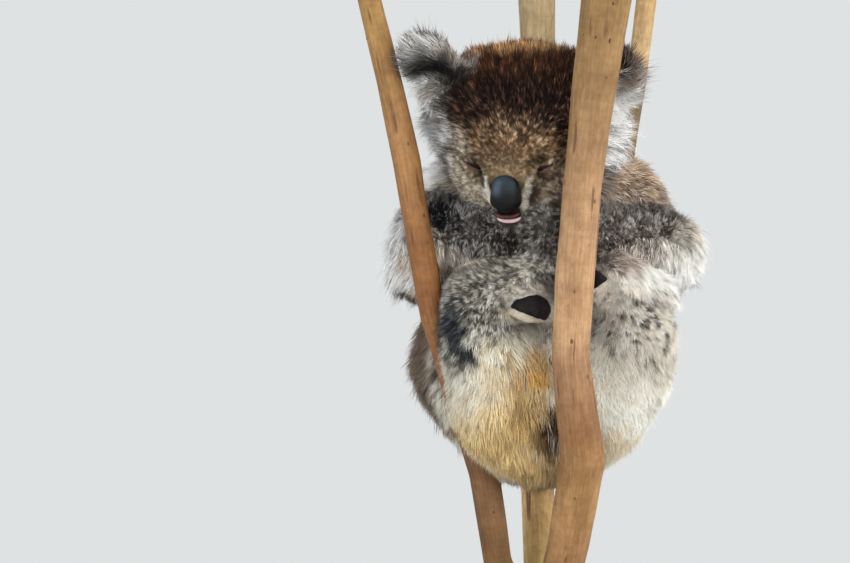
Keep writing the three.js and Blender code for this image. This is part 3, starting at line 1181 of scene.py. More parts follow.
    def lay(self, markings: Markings) -> None:
        """Give every vertex its hair's length, lift, width, crowding, direction and colours.

        Args:
            markings: What colours the coat.
        """
        w = self.weights
        self.length, self.lift, self.width, self.crowd, self.mottle = (
            w @ self.rule(name) for name in ("length", "lift", "width", "crowd", "mottle")
        )
        flows = np.array([LIES[k].flow for k in self.kinds]) * np.stack(
            [self.sides, np.ones_like(self.sides), np.ones_like(self.sides)], axis=1
        )
        self.flow = w @ unit(flows)
        root = w @ np.array([LIES[k].colour.root for k in self.kinds])
        tip = w @ np.array([LIES[k].colour.tip for k in self.kinds])
        root, tip = self.even_out(root, self.FADE), self.even_out(tip, self.FADE)
        ears = [i for i, k in enumerate(self.kinds) if k == "ear"]
        skull = [i for i, k in enumerate(self.kinds) if k in ("skull", "lower_jaw")]
        self.ear_share = w[:, ears].sum(axis=1)
        self.head_share = w[:, skull].sum(axis=1)
        self.root, self.tip = markings.colours(self.points, root, tip, self.head_share)
        for fringe in FRINGES:
            share = fringe.cover(self.points) * (1.0 - self.head_share - self.ear_share)
            way = unit(np.array(fringe.flow))
            self.change(share, length=fringe.length, lift=fringe.lift, flow=way)
        self.lay_head()
        self.lay_ears()
        self.crowd *= 1.0 - 0.75 * self.hidden()
        self.crowd *= smooth(self.CLEAR, 3.0 * self.CLEAR, self.grid.read(self.stems, self.points))
        self.crowd *= smooth(-0.5 * MM, 1.0 * MM, self.grid.read(self.bare, self.points))
        along = self.flow - self.normals * (self.flow * self.normals).sum(1, keepdims=True)
        self.flow = unit(self.even_out(unit(along), 8))

    def hidden(self) -> Array:
        """Find how far each vertex lies against other skin, where no eye reaches.

        Returns:
            A share from 0 to 1 for each vertex.
        """
        tree = BVHTree.FromPolygons(self.points.tolist(), self.faces.tolist())
        closed = [
            tree.ray_cast(p + n * MM, n, 18 * MM)[0] is not None
            for p, n in zip(map(Vector, self.points), map(Vector, self.normals))
        ]
        return self.even_out(np.array(closed, float)[:, None], 6)[:, 0]

    def lay_head(self) -> None:
        """Comb the head: away from the nose, short on the face, long and white on the cheeks."""
        local = self.head.local(self.points)
        side, forward, up = local.T
        away = unit(local - self.NOSE_AT)
        far = np.linalg.norm(local - self.NOSE_AT, axis=1)
        ruff = smooth(52, 70, np.abs(side)) * smooth(52, 34, up)
        hang = np.stack([np.sign(side), -0.2 + 0 * side, 0.012 * up - 0.35], axis=1)
        comb = unit(away * (1.0 - ruff)[:, None] + unit(hang) * ruff[:, None])
        rules = {name: np.interp(far, *table) for name, table in self.FROM_NOSE.items()}
        top = smooth(44, 60, up) * smooth(44, 20, forward)
        crest = smooth(-8, -26, forward) * smooth(30, 50, up) * smooth(64, 48, np.abs(side))
        rules["length"] += 18.0 * ruff + 2.0 * top + 5.0 * crest
        rules["crowd"] *= 1.0 - 0.45 * ruff
        rules["lift"] = rules["lift"] * (1.0 - ruff) + 30.0 * ruff + 20.0 * top
        share = self.head_share
        self.change(share, flow=comb @ self.head.axes, **rules)
        for eye in (1, -1):
            along, out, high, gap = self.eye_places(local, eye)
            gap = gap + 3.0 * smooth(self.SLIT, self.SLIT + 3.0, np.abs(along))
            here = (out > 0) * share
            self.crowd = self.crowd * (1.0 - smooth(2.6, 1.6, gap) * here)
            # painted shade along the crease that runs on past the eye's outer corner
            beyond = smooth(self.SLIT + 9.0, self.SLIT + 1.0, along) * (along > self.SLIT - 2.0)
            crease = np.exp(-(((high - self.slit_line(along) - 0.4) / 1.1) ** 2)) * beyond * here
            self.change(0.8 * crease, root=Tone.LID.root, tip=Tone.LID.tip)
            above = high > self.slit_line(along)
            for lid, side_of in ((Tone.LID, above), (Tone.LOWER_LID, ~above)):
                rim = smooth(3.6, 1.8, gap) * here * side_of
                self.change(rim, root=lid.root, tip=lid.tip)
        # painted shade darkens the roots along the crease of the mouth, where the coat also thins
        mouth = np.exp(-((self.mouth_gap(side, up) / 2.2) ** 2)) * smooth(50, 62, forward)
        mouth *= smooth(34, 14, np.abs(side)) * share
        self.change(mouth * 0.9, root=Tone.MOUTH.root)
        self.crowd = self.crowd * (1.0 - 0.8 * mouth)

    def lay_ears(self) -> None:
        """Comb the ears outwards from their roots, longest and palest round the rim."""
        for name, side in (("ear_left", 1), ("ear_right", -1)):
            share = self.weights[:, self.names.index(name)]
            centre = self.head.local(middle(name)[None])[0]
            local = self.head.local(self.points) - centre
            out = local * np.array([0.8, 0.5, 1.3]) + np.array([side * 5.0, -7.0, 9.0])
            rim = smooth(-6, 20, local[:, 0] * side * 0.75 + local[:, 2] * 0.75)
            under = smooth(-4, -18, local[:, 2])
            self.change(share, flow=unit(out) @ self.head.axes, lift=40.0 + 4.0 * rim,
                        length=8.5 + 13.0 * rim + 9.0 * under)


# ---- coat


class Unwrap:
    """A flat map of the skin: one chart for each part and way of facing, packed in rows."""

    MARGIN = 0.004
    WIDTH = 0.78                # metres of skin across one row of charts

    def __init__(self, skin: Skin) -> None:
        """Cut the skin into charts and lay them out.

        Args:
            skin: The finished skin, which gets the texture coordinates.
        """
        corners = skin.points[skin.faces]
        ways = facing(corners)
        axis = np.abs(ways).argmax(axis=1)
        sign = ways[np.arange(len(axis)), axis] > 0
        owner = skin.weights.argmax(axis=1)[skin.faces[:, 0]]
        self.chart = owner * 6 + axis * 2 + sign
        self.flat = np.array([[1, 2], [0, 2], [0, 1]])
        self.low, self.offset = {}, {}
        sizes = {}
        for chart in np.unique(self.chart):
            held = corners[self.chart == chart].reshape(-1, 3)[:, self.flat[chart // 2 % 3]]
            self.low[chart] = held.min(axis=0)
            sizes[chart] = held.max(axis=0) - held.min(axis=0) + self.MARGIN
        x = y = row = 0.0
        for chart in sorted(sizes, key=lambda c: -sizes[c][1]):
            width, height = sizes[chart]
            if x + width > self.WIDTH:
                x, y, row = 0.0, y + row, 0.0
            self.offset[chart] = np.array([x, y])
            x, row = x + width, max(row, height)
        self.extent = max(self.WIDTH, y + row)

    def place(self, face: Array, points: Array) -> Array:
        """Find where points of the skin lie on the map.

        Args:
            face: The triangle under each point.
            points: The points, one a row.

        Returns:
            Two map coordinates for each point, from 0 to 1.
        """
        chart = self.chart[face]
        result = np.zeros((len(points), 2))
        for c in np.unique(chart):
            rows = np.flatnonzero(chart == c)
            flat = points[rows][:, self.flat[c // 2 % 3]]
            result[rows] = (flat - self.low[c] + self.offset[c]) / self.extent
        return np.clip(result, 0.003, 0.997)


class Tuft(Enum):
    """The two forms of tuft: straight and short, or bowed and long."""

    SPIKE = "wool"
    BLADE = "hair"


TUFT_FACES = {
    Tuft.SPIKE: [[0, 1, 2], [1, 0, 3], [2, 1, 3], [0, 2, 3]],
    Tuft.BLADE: [[0, 1, 2], [0, 3, 1], [0, 2, 3], [2, 1, 4], [1, 3, 4], [3, 2, 4]],
}
TUFT_PATCH = {                  # where a tuft's corners lie in its patch of the map
    Tuft.SPIKE: [[-1, -1], [1, -1], [0, -0.4], [0, 1]],
    Tuft.BLADE: [[0, -1], [-1, 0], [1, 0], [0, 0.2], [0, 1]],
}


@dataclass
class Coat:
    """One form of the fur: solid tapered tufts rooted on the skin.

    Short hair is made of spikes and long hair of blades, and where the coat's length changes the
    two mingle. The tufts are split into several pieces. The pieces are of a size that the
    library takes.
    """

    form: Tuft
    tufts: int
    pieces: int
    seed: int
    unruly: float = 14.0        # degrees that single tufts stray from their lock
    guard: float = 0.05         # the share of tufts that stand out of the coat
    change: tuple = (8.5, 11.5) # millimetres of length over which spikes give way to blades
    clump_size: float = 5.5 * MM
    clump_pull: float = 0.35
    sway: float = 20.0          # degrees that a lock strays from the lie of the coat
    flat: float = 0.45          # thickness of a tuft against its width
    waist: float = 0.42         # how far along a tuft is widest
    softness: float = 0.6       # how far a tuft is shaded like the body under it
    fleck: float = 3.6          # how strongly small groups of tufts differ in lightness
    fleck_size: float = 1.8 * MM
    patch: float = 0.003        # how wide a tuft is on the map

    def sow(self, skin: Skin) -> None:
        """Choose the roots evenly, as close together as the rules say.

        Args:
            skin: The finished skin.
        """
        rng = np.random.default_rng(self.seed)
        corners = skin.points[skin.faces]
        area = 0.5 * np.linalg.norm(facing(corners), axis=1)
        long = smooth(*self.change, skin.length)
        wanted = skin.crowd * (long if self.form is Tuft.BLADE else 1.0 - long)
        weight = np.cumsum(area * wanted[skin.faces].mean(axis=1))
        LOG.info("%s: the rules ask for %d tufts", self.form.value, weight[-1] / MM**2)
        picks = (np.arange(self.tufts) + rng.random(self.tufts)) / self.tufts * weight[-1]
        self.face = np.searchsorted(weight, picks)
        u, v = rng.random((2, self.tufts))
        over = u + v > 1
        u[over], v[over] = 1 - u[over], 1 - v[over]
        self.bary = np.stack([1 - u - v, u, v], axis=1)
        self.rng = rng
        self.at = self.from_skin(skin, skin.points)

    def from_skin(self, skin: Skin, values: Array) -> Array:
        """Carry values from the skin's vertices to the roots.

        Args:
            skin: The finished skin.
            values: One value or row for each vertex of the skin.

        Returns:
            One value or row for each root.
        """
        held = values[skin.faces[self.face]]
        if held.ndim == 2:
            return (held * self.bary).sum(axis=1)
        return (held * self.bary[:, :, None]).sum(axis=1)

    def comb(self, skin: Skin) -> None:
        """Set the line of every tuft: its root, middle and tip.

        Args:
            skin: The finished skin.
        """
        count, rng = self.tufts, self.rng
        self.normal = unit(self.from_skin(skin, skin.normals))
        flow = self.from_skin(skin, skin.flow)
        flow = unit(flow - self.normal * (flow * self.normal).sum(1, keepdims=True))
        across = np.cross(self.normal, flow)
        locks, drift = Noise(21, 13 * MM), Noise(22, 35 * MM)
        turn = np.radians(self.sway) * (locks(self.at) + 0.6 * drift(self.at))
        turn *= smooth(0.0, 13.0, self.from_skin(skin, skin.length))
        turn += np.radians(self.unruly) * rng.standard_normal(count)
        flow = flow * np.cos(turn)[:, None] + across * np.sin(turn)[:, None]
        length = self.from_skin(skin, skin.length) * MM * rng.uniform(0.72, 1.22, count)
        lift = np.radians(self.from_skin(skin, skin.lift))
        self.guards = rng.random(count) < self.guard
        length = np.where(self.guards, 1.5 * length, length)
        lift = np.where(self.guards, lift + 0.2, lift)
        lift = lift * (1.0 + 0.25 * Noise(23, 7 * MM)(self.at)) + 0.10 * rng.standard_normal(count)
        middle_way = self.lean(flow, lift + 0.16)
        tip_way = self.lean(flow, lift - 0.20)
        drop = np.array([0.0, 0.0, -1.0]) * (np.clip(length / MM - 12, 0, 30) * 0.008)[:, None]
        middle_at = self.at + self.waist * length[:, None] * middle_way
        tip_at = middle_at + (1.0 - self.waist) * length[:, None] * unit(tip_way + drop * 2.0)
        self.length = length
        self.line = [self.at - self.normal * 0.6 * MM, middle_at, tip_at]
        self.gather()

    def lean(self, flow: Array, angle: Array) -> Array:
        """Raise directions off the skin by an angle for each."""
        angle = np.clip(angle, 0.06, 1.4)[:, None]
        return flow * np.cos(angle) + self.normal * np.sin(angle)

    def gather(self) -> None:
        """Draw the tips of neighbouring tufts together into locks."""
        chosen = self.rng.permutation(self.tufts)[: int(self.tufts / 14)]
        tree = KDTree(len(chosen))
        for i, k in enumerate(chosen):
            tree.insert(self.at[k], i)
        tree.balance()
        nearest = np.array([tree.find(p)[1] for p in self.at])
        leader = chosen[nearest]
        apart = np.linalg.norm(self.at - self.at[leader], axis=1)
        pull = self.clump_pull * smooth(2.2 * self.clump_size, 0.4 * self.clump_size, apart)
        pull = pull * self.rng.uniform(0.4, 1.2, self.tufts)
        tips = self.line[2]
        lead = self.line[2][leader] - self.line[0][leader] + self.line[0]
        goal = 0.5 * (lead + self.line[2][leader])
        self.line[2] = mix(tips, goal, pull)

    def keep_clear(self, grid: Grid, field_: Array, room: float) -> None:
        """Push middles and tips out of a solid, so that the hair lies against it.

        Args:
            grid: The voxels.
            field_: The distance from the solid at every voxel.
            room: How far the hair stays from it.
        """
        for k in (1, 2):
            deep = room - grid.read(field_, self.line[k])
            rows = np.flatnonzero(deep > 0)
            way = grid.slope(field_, self.line[k][rows])
            self.line[k][rows] += way * deep[rows][:, None]

    def shape(self, skin: Skin) -> None:
        """Work out the corners, shading and colours of all tufts.

        A tuft is widest at its root if it is a spike and at its waist if it is a blade: there it
        has its left, right and back corners. A blade's root is one corner more.

        Args:
            skin: The finished skin.
        """
        rng, count = self.rng, self.tufts
        width = self.from_skin(skin, skin.width) * MM * rng.uniform(0.75, 1.25, count)
        width = np.where(self.guards, 0.7 * width, width)
        root, waist, tip = self.line
        ahead = unit(tip - root)
        side = unit(np.cross(ahead, self.normal))
        back = np.cross(side, ahead)
        half, thick = (0.5 * width)[:, None], (self.flat * width)[:, None]
        broad = waist if self.form is Tuft.BLADE else root
        verts = [broad - side * half, broad + side * half, broad + back * thick, tip]
        own = [back - side * 1.5, back + side * 1.5, back, back + ahead]
        # dark roots carry painted shade deep in the coat as well as the hair's own bands
        low, high = self.from_skin(skin, skin.root), self.from_skin(skin, skin.tip)
        mottle = self.from_skin(skin, skin.mottle) * (1.0 - 0.8 * smooth(0.4, 0.85, high.mean(axis=1)))
        speck = 0.8 * rng.standard_normal(count) + self.fleck * Noise(31, self.fleck_size)(self.at)
        speck += 0.9 * Noise(32, 8 * MM)(self.at)
        light = np.exp(mottle * (speck - 0.6 * mottle))[:, None]
        between = low * 0.4 + high * 0.6 if self.form is Tuft.BLADE else low
        colours = [between, between, between, high]
        if self.form is Tuft.BLADE:
            verts, own, colours = [root, *verts], [back, *own], [low, *colours]
        self.verts = np.stack(verts, axis=1)
        body = np.repeat(self.normal[:, None], len(verts), axis=1)
        shading = unit(np.stack(own, axis=1)) * (1.0 - self.softness) + body * self.softness
        self.shading = unit(shading)
        self.colours = np.stack([c * light for c in colours], axis=1)

    def build(self, skin: Skin, unwrap: Unwrap, material: Finish) -> None:
        """Make the pieces, each a run of neighbouring tufts.

        Args:
            skin: The finished skin.
            unwrap: The skin's texture coordinates.
            material: The hair's finish.
        """
        solid = np.array(TUFT_FACES[self.form])
        spread = np.array(TUFT_PATCH[self.form]) * self.patch / 2.0
        corners = len(spread)
        place = unwrap.place(self.face, self.at)
        for k, rows in enumerate(np.array_split(np.arange(self.tufts), self.pieces)):
            verts = self.verts[rows].reshape(-1, 3)
            faces = (solid[None] + corners * np.arange(len(rows))[:, None, None]).reshape(-1, 3)
            piece = new_object(f"coat_{self.form.value}_{k + 1}", verts, faces)
            piece.data.normals_split_custom_set_from_vertices(self.shading[rows].reshape(-1, 3))
            paint(piece.data, "pelt", self.colours[rows].reshape(-1, 3).clip(0.0, 0.97))
            spots = (place[rows][:, None] + spread).reshape(-1, 2)
            layer = piece.data.uv_layers.new(name="OFBake")
            layer.data.foreach_set("uv", spots[faces.ravel()].astype(np.float32).ravel())
            finish_piece(piece, material, Slot.COAT)


# ---- perch


@dataclass(frozen=True)
class Branch:
    """One stem of the perch: its middle line and thickness, read from its CAD node."""

    node: str
    middle: Array
    radius: Array

    @staticmethod
    def read(node: str, mesh: bpy.types.Mesh, step: float = 12 * MM) -> "Branch":
        """Slice a branch level by level.

        Args:
            node: Its CAD node.
            mesh: The node's mesh.
            step: The distance between slices.

        Returns:
            The branch.
        """
        points, faces = mesh_arrays(mesh)
        low, high = points[:, 2].min(), points[:, 2].max()
        levels = np.arange(low + 20 * MM, high - 4 * MM, step)
        ends = sides_of(faces)
        a, b = points[ends[:, 0]], points[ends[:, 1]]
        centres, sizes = [], []
        for level in levels:
            cut = (a[:, 2] < level) & (b[:, 2] >= level)
            t = (level - a[cut, 2]) / (b[cut, 2] - a[cut, 2])
            ring = a[cut] + (b[cut] - a[cut]) * t[:, None]
            centre = (ring.min(axis=0) + ring.max(axis=0)) / 2.0
            centres.append(centre)
            sizes.append(np.linalg.norm(ring - centre, axis=1).mean())
        middle = np.array(centres)
        tangent = unit(np.gradient(middle, axis=0))
        return Branch(node, middle, np.array(sizes) * np.sqrt(np.abs(tangent[:, 2])))

    def straighten(self, points: Array) -> tuple[Array, Array]:
        """Find where points lie along and round the branch.

        Args:
            points: Places near the branch.

        Returns:
            The distance from the middle line, and coordinates across, across and along it.
        """
        gaps = np.linalg.norm(np.diff(self.middle, axis=0), axis=1)
        run = np.concatenate([[0.0], np.cumsum(gaps)])
        far = np.linalg.norm(points[:, None] - self.middle[None], axis=2)
        near = far.argmin(axis=1)
        tangent = unit(np.gradient(self.middle, axis=0))[near]
        offset = points - self.middle[near]
        along = (offset * tangent).sum(axis=1)
        across = offset - tangent * along[:, None]
        return np.linalg.norm(across, axis=1), np.column_stack([across[:, :2], run[near] + along])


# Bark tone together with painted light and shade: the dark band at 0.55 on the side stem is a painted
# shadow.
STEM_TONES_AND_SHADE = {                # each stem's colour from its foot up, by height in metres
    "perch_front_branch": ((0.15, 0x96714A), (0.2, 0x9D784D), (0.245, 0x835E3C), (0.3, 0x987555),
                           (0.35, 0xAA8763), (0.45, 0x997856), (0.52, 0x866844), (0.6, 0x84673F)),
    "perch_left_branch": ((0.13, 0x6C4F2E), (0.19, 0x6E4F33), (0.376, 0x8C5E37), (0.436, 0x885F38),
                          (0.52, 0x967045), (0.6, 0x8D6D3E)),
    "perch_back_branch": ((0.13, 0xAF965F), (0.2, 0xB99667), (0.4, 0x9C8560), (0.6, 0x9A8866)),
    "perch_side_branch": ((0.3, 0x9A8058), (0.55, 0x695A39), (0.58, 0xBDA37B), (0.62, 0xAC8E62)),
}


class Perch:
    """The cut fork: four smooth-barked stems on one stump, made as a single piece of wood."""

    VOXEL = 1.9 * MM
    BAND = 6.0 * MM
    ROUNDING = 3
    CROTCH = 5.0 * MM           # how softly the stems meet
    GROWN = 0.4 * MM
    LUMPS = 0.7 * MM            # how high its knots and ripples are
    RIPPLES = 0.3 * MM
    SUNK = 0.2 * MM

    def __init__(self, nodes: dict) -> None:
        """Read the stump and its stems.

        Args:
            nodes: The CAD nodes by name.
        """
        self.names = sorted(n for n in nodes if n.startswith("perch_"))
        self.parts = [mesh_arrays(nodes[n].data) for n in self.names]
        self.branches = [
            Branch.read(n, nodes[n].data) for n in self.names if n.endswith("_branch")
        ]
        every = np.concatenate([points for points, _ in self.parts])
        self.grid = Grid.around(every, 2 * self.BAND, self.VOXEL)

    def grow(self) -> None:
        """Join the stems, round them and swell a few knots."""
        union = np.full(self.grid.count, self.BAND, np.float32)
        for points, faces in self.parts:
            apart = self.grid.distance(points, faces, self.BAND) - np.float32(self.GROWN)
            union = soft_union(union, apart, self.CROTCH)
        self.field = self.grid.blur(union, self.ROUNDING)
        points, quads = largest_shell(*self.grid.surface(self.field))
        lumps, ripple = Noise(41, 45 * MM), Noise(42, 14 * MM)
        self.piece = closed_object("perch", points, quads)
        swell = self.LUMPS * lumps(points) + self.RIPPLES * ripple(points * [1, 1, 0.4]) - self.SUNK
        self.points = points + mesh_normals(self.piece.data) * swell[:, None]
        move_vertices(self.piece.data, self.points)

    def finish(self, material: Finish) -> None:
        """Store the straightened places that the grain follows, and dress the wood.

        Args:
            material: The finish of the wood.
        """
        best = np.full(len(self.points), 1e9)
        grain = np.zeros((len(self.points), 3))
        which = np.zeros(len(self.points))
        for i, branch in enumerate(self.branches):
            for rows in np.array_split(np.arange(len(self.points)), 12):
                far, places = branch.straighten(self.points[rows])
                closer = far < best[rows]
                best[rows[closer]] = far[closer]
                grain[rows[closer]] = places[closer] + i * 0.37
                which[rows[closer]] = i
        layer = self.piece.data.attributes.new("grain", "FLOAT_VECTOR", "POINT")
        layer.data.foreach_set("vector", grain.astype(np.float32).ravel())
        # paint each stem's colours by height, with their painted light and shade
        colours = np.zeros((len(self.points), 3))
        for i, branch in enumerate(self.branches):
            levels, codes = zip(*STEM_TONES_AND_SHADE[branch.node])
            shades = np.array([tone(code) for code in codes])
            rows = which == i
            for k in range(3):
                colours[rows, k] = np.interp(self.points[rows, 2], levels, shades[:, k])
        paint(self.piece.data, "stem", colours)
        finish_piece(self.piece, material, Slot.BARK, *self.names)


class Scars:
    """Raised scars of shed twigs, strewn over the perch by geometry nodes."""

    INPUTS = (("Density", 260.0), ("Size", 1.15 * MM), ("Seed", 5))

    def tree(self, material: Finish) -> bpy.types.GeometryNodeTree:
        """Build the node tree that strews flattened beads over a surface.

        Args:
            material: What the beads are made of.

        Returns:
            The tree, with the inputs Geometry, Density, Size and Seed.
        """
        tree = bpy.data.node_groups.new("twig_scars", "GeometryNodeTree")
        sockets = tree.interface
        sockets.new_socket("Geometry", in_out="INPUT", socket_type="NodeSocketGeometry")
        sockets.new_socket("Geometry", in_out="OUTPUT", socket_type="NodeSocketGeometry")
        for name, value in self.INPUTS:
            kind = "NodeSocketInt" if isinstance(value, int) else "NodeSocketFloat"
            sockets.new_socket(name, in_out="INPUT", socket_type=kind).default_value = value
        nodes = Nodes(tree)
        start, end = nodes.add("NodeGroupInput"), nodes.add("NodeGroupOutput")
        strew = nodes.add("GeometryNodeDistributePointsOnFaces", distribute_method="RANDOM")
        bead = nodes.add("GeometryNodeMeshIcoSphere")
        fill(bead, Radius=1.0, Subdivisions=3)
        shape = nodes.add("FunctionNodeRandomValue", data_type="FLOAT_VECTOR")
        shape.inputs[0].default_value = (0.7, 0.9, 0.25)
        shape.inputs[1].default_value = (1.3, 2.2, 0.5)
        size = nodes.add("ShaderNodeVectorMath", operation="SCALE")
        place = nodes.add("GeometryNodeInstanceOnPoints")
        even = nodes.add("GeometryNodeSetShadeSmooth")
        whole = nodes.add("GeometryNodeRealizeInstances")
        dress = nodes.add("GeometryNodeSetMaterial")
        fill(dress, Material=material)
        for out, into in (
            (start.outputs["Geometry"], strew.inputs["Mesh"]),
            (start.outputs["Density"], strew.inputs["Density"]),
            (start.outputs["Seed"], strew.inputs["Seed"]),
            (start.outputs["Seed"], shape.inputs["Seed"]),
            (shape.outputs[0], size.inputs["Vector"]),
            (start.outputs["Size"], size.inputs["Scale"]),
            (strew.outputs["Points"], place.inputs["Points"]),
            (strew.outputs["Rotation"], place.inputs["Rotation"]),
            (size.outputs["Vector"], place.inputs["Scale"]),
            (bead.outputs["Mesh"], even.inputs["Geometry"]),
            (even.outputs["Geometry"], place.inputs["Instance"]),
            (place.outputs["Instances"], whole.inputs["Geometry"]),
            (whole.outputs["Geometry"], dress.inputs["Geometry"]),
            (dress.outputs["Geometry"], end.inputs["Geometry"]),
        ):
            nodes.link(out, into)
        return tree

    def build(self, perch: Piece, material: Finish) -> Piece:
        """Strew the scars over the perch and turn them into a plain mesh.

        Args:
            perch: The finished perch.
            material: What the scars are made of.

        Returns:
            The piece.
        """
        bearer = linked("bark_scars", perch.data.copy())
        modifier = bearer.modifiers.new("scars", "NODES")
        modifier.node_group = self.tree(material)
        values = dict(self.INPUTS)
        for item in modifier.node_group.interface.items_tree:
            if item.in_out == "INPUT" and item.name in values:
                modifier[item.identifier] = values[item.name]
        shaped = bearer.evaluated_get(bpy.context.evaluated_depsgraph_get())
        mesh = bpy.data.meshes.new_from_object(shaped)
        bearer.modifiers.remove(modifier)
        bearer.data = mesh
        return finish_piece(bearer, material, Slot.BARK)


# ---- nose, eyes, lips, claws, soles


class Nose:
    """The bare nose: smooth leather with a nostril at each lower corner."""

    VOXEL = 0.6 * MM
    MARGIN = 4.0 * MM
    NOSTRIL = (4.2, 5.0, 1.7)    # half its width, depth and height in millimetres
    NOSTRIL_AT = (7.8, 86.0, -11.5)
    NOSTRIL_SLANT = 28.0         # degrees
    NOSTRIL_EDGE = 1.2 * MM      # how wide its rounded edge is
    # nearly black below, slate above, a painted highlight, and the painted shade of the rim
    LOW, HIGH, WORN, RIM = 0x070806, 0x283138, 0x44525E, 0x030303

    def __init__(self, nodes: dict, head: HeadFrame) -> None:
        """Note the node that the nose follows."""
        self.points, self.faces = mesh_arrays(nodes["nose"].data)
        self.head = head

    def build(self, material: Finish) -> Piece:
        """Round the nose, press the nostrils in and dress it.

        Args:
            material: The nose's leather.

        Returns:
            The finished piece.
        """
        grid = Grid.around(self.points, self.MARGIN, self.VOXEL)
        field_ = grid.blur(grid.distance(self.points, self.faces, 5 * MM), 5)
        local = self.head.local(grid.places())
        for side in (1, -1):
            slant = math.radians(self.NOSTRIL_SLANT) * side
            offset = local - np.array(self.NOSTRIL_AT) * [side, 1.0, 1.0]
            x = offset[:, 0] * math.cos(slant) + offset[:, 2] * math.sin(slant)
            z = -offset[:, 0] * math.sin(slant) + offset[:, 2] * math.cos(slant)
            far = np.sqrt((x / self.NOSTRIL[0]) ** 2 + (offset[:, 1] / self.NOSTRIL[1]) ** 2
                          + (z / self.NOSTRIL[2]) ** 2)
            pit = ((1.0 - far) * self.NOSTRIL[2] * MM).reshape(grid.count).astype(np.float32)
            field_ = -soft_union(-field_, -pit, self.NOSTRIL_EDGE)
        field_ = grid.blur(field_, 1)
        piece = closed_object("nose_leather", *largest_shell(*grid.surface(field_)))
        self.tint(piece.data)
        return finish_piece(piece, material, Slot.NOSE, "nose")

    def tint(self, mesh: bpy.types.Mesh) -> None:
        """Paint the nose: slate above and darker towards the bottom as painted shade,
        with painted shade round the rim and a painted highlight on one side.

        Args:
            mesh: The nose's mesh.
        """
        points, _ = mesh_arrays(mesh)
        side = self.head.local(points)[:, 0]
        up = (points - middle("nose"))[:, 2] / MM
        low, high, highlight, rim = (tone(code)[None] for code in (self.LOW, self.HIGH, self.WORN, self.RIM))
        # darker towards the bottom: painted shade
        colour = mix(low, high, smooth(-5, 8, up))
        # a painted highlight on the upper part of one side
        colour = mix(colour, highlight, smooth(0, -7, side) * smooth(-6, 3, up) * smooth(14, 7, up))
        # painted shade round the rim, where the nose turns away from the front
        shown = mesh_normals(mesh) @ self.head.turn((0.0, 0.75, 0.66))
        colour = mix(rim, colour, smooth(0.4, 0.9, shown))
        paint(mesh, "pelt", colour)


@dataclass
class Tube:
    """A closed tube along a line whose thickness changes, for lips, lid rims and claws."""

    line: Array
    radius: Array
    squash: float = 1.0
    sides: int = 12

    def arrays(self) -> tuple[Array, Array]:
        """Build the tube.

        Returns:
            Vertices and triangles.
        """
        tangent = unit(np.gradient(self.line, axis=0))
        guide = unit(np.cross(tangent.mean(axis=0), [0.31, 0.17, 0.93]))
        across = unit(np.cross(tangent, guide))
        over = np.cross(tangent, across)
        turn = np.linspace(0, 2 * np.pi, self.sides, endpoint=False)
        ring = (across[:, None] * np.cos(turn)[None, :, None]
                + over[:, None] * np.sin(turn)[None, :, None] * self.squash)
        body = self.line[:, None] + ring * self.radius[:, None, None]
        points = np.concatenate([body.reshape(-1, 3), self.line[[0, -1]]])
        rings, faces = len(self.line), []
        for i in range(rings - 1):
            for j in range(self.sides):
                a, b = i * self.sides + j, i * self.sides + (j + 1) % self.sides
                faces += [(a, b, b + self.sides), (a, b + self.sides, a + self.sides)]
        first, last = rings * self.sides, rings * self.sides + 1
        for j in range(self.sides):
            k = (j + 1) % self.sides
            faces += [(first, k, j), (last, (rings - 1) * self.sides + j, (rings - 1) * self.sides + k)]
        return points, np.array(faces)


def joined(parts: list[tuple[Array, Array]]) -> tuple[Array, Array]:
    """Put several meshes into one pair of arrays.

    Args:
        parts: Vertices and triangles of each mesh.

    Returns:
        The vertices and triangles of them all.
    """
    points, faces, start = [], [], 0
    for p, f in parts:
        points.append(p)
        faces.append(f + start)
        start += len(p)
    return np.concatenate(points), np.concatenate(faces)


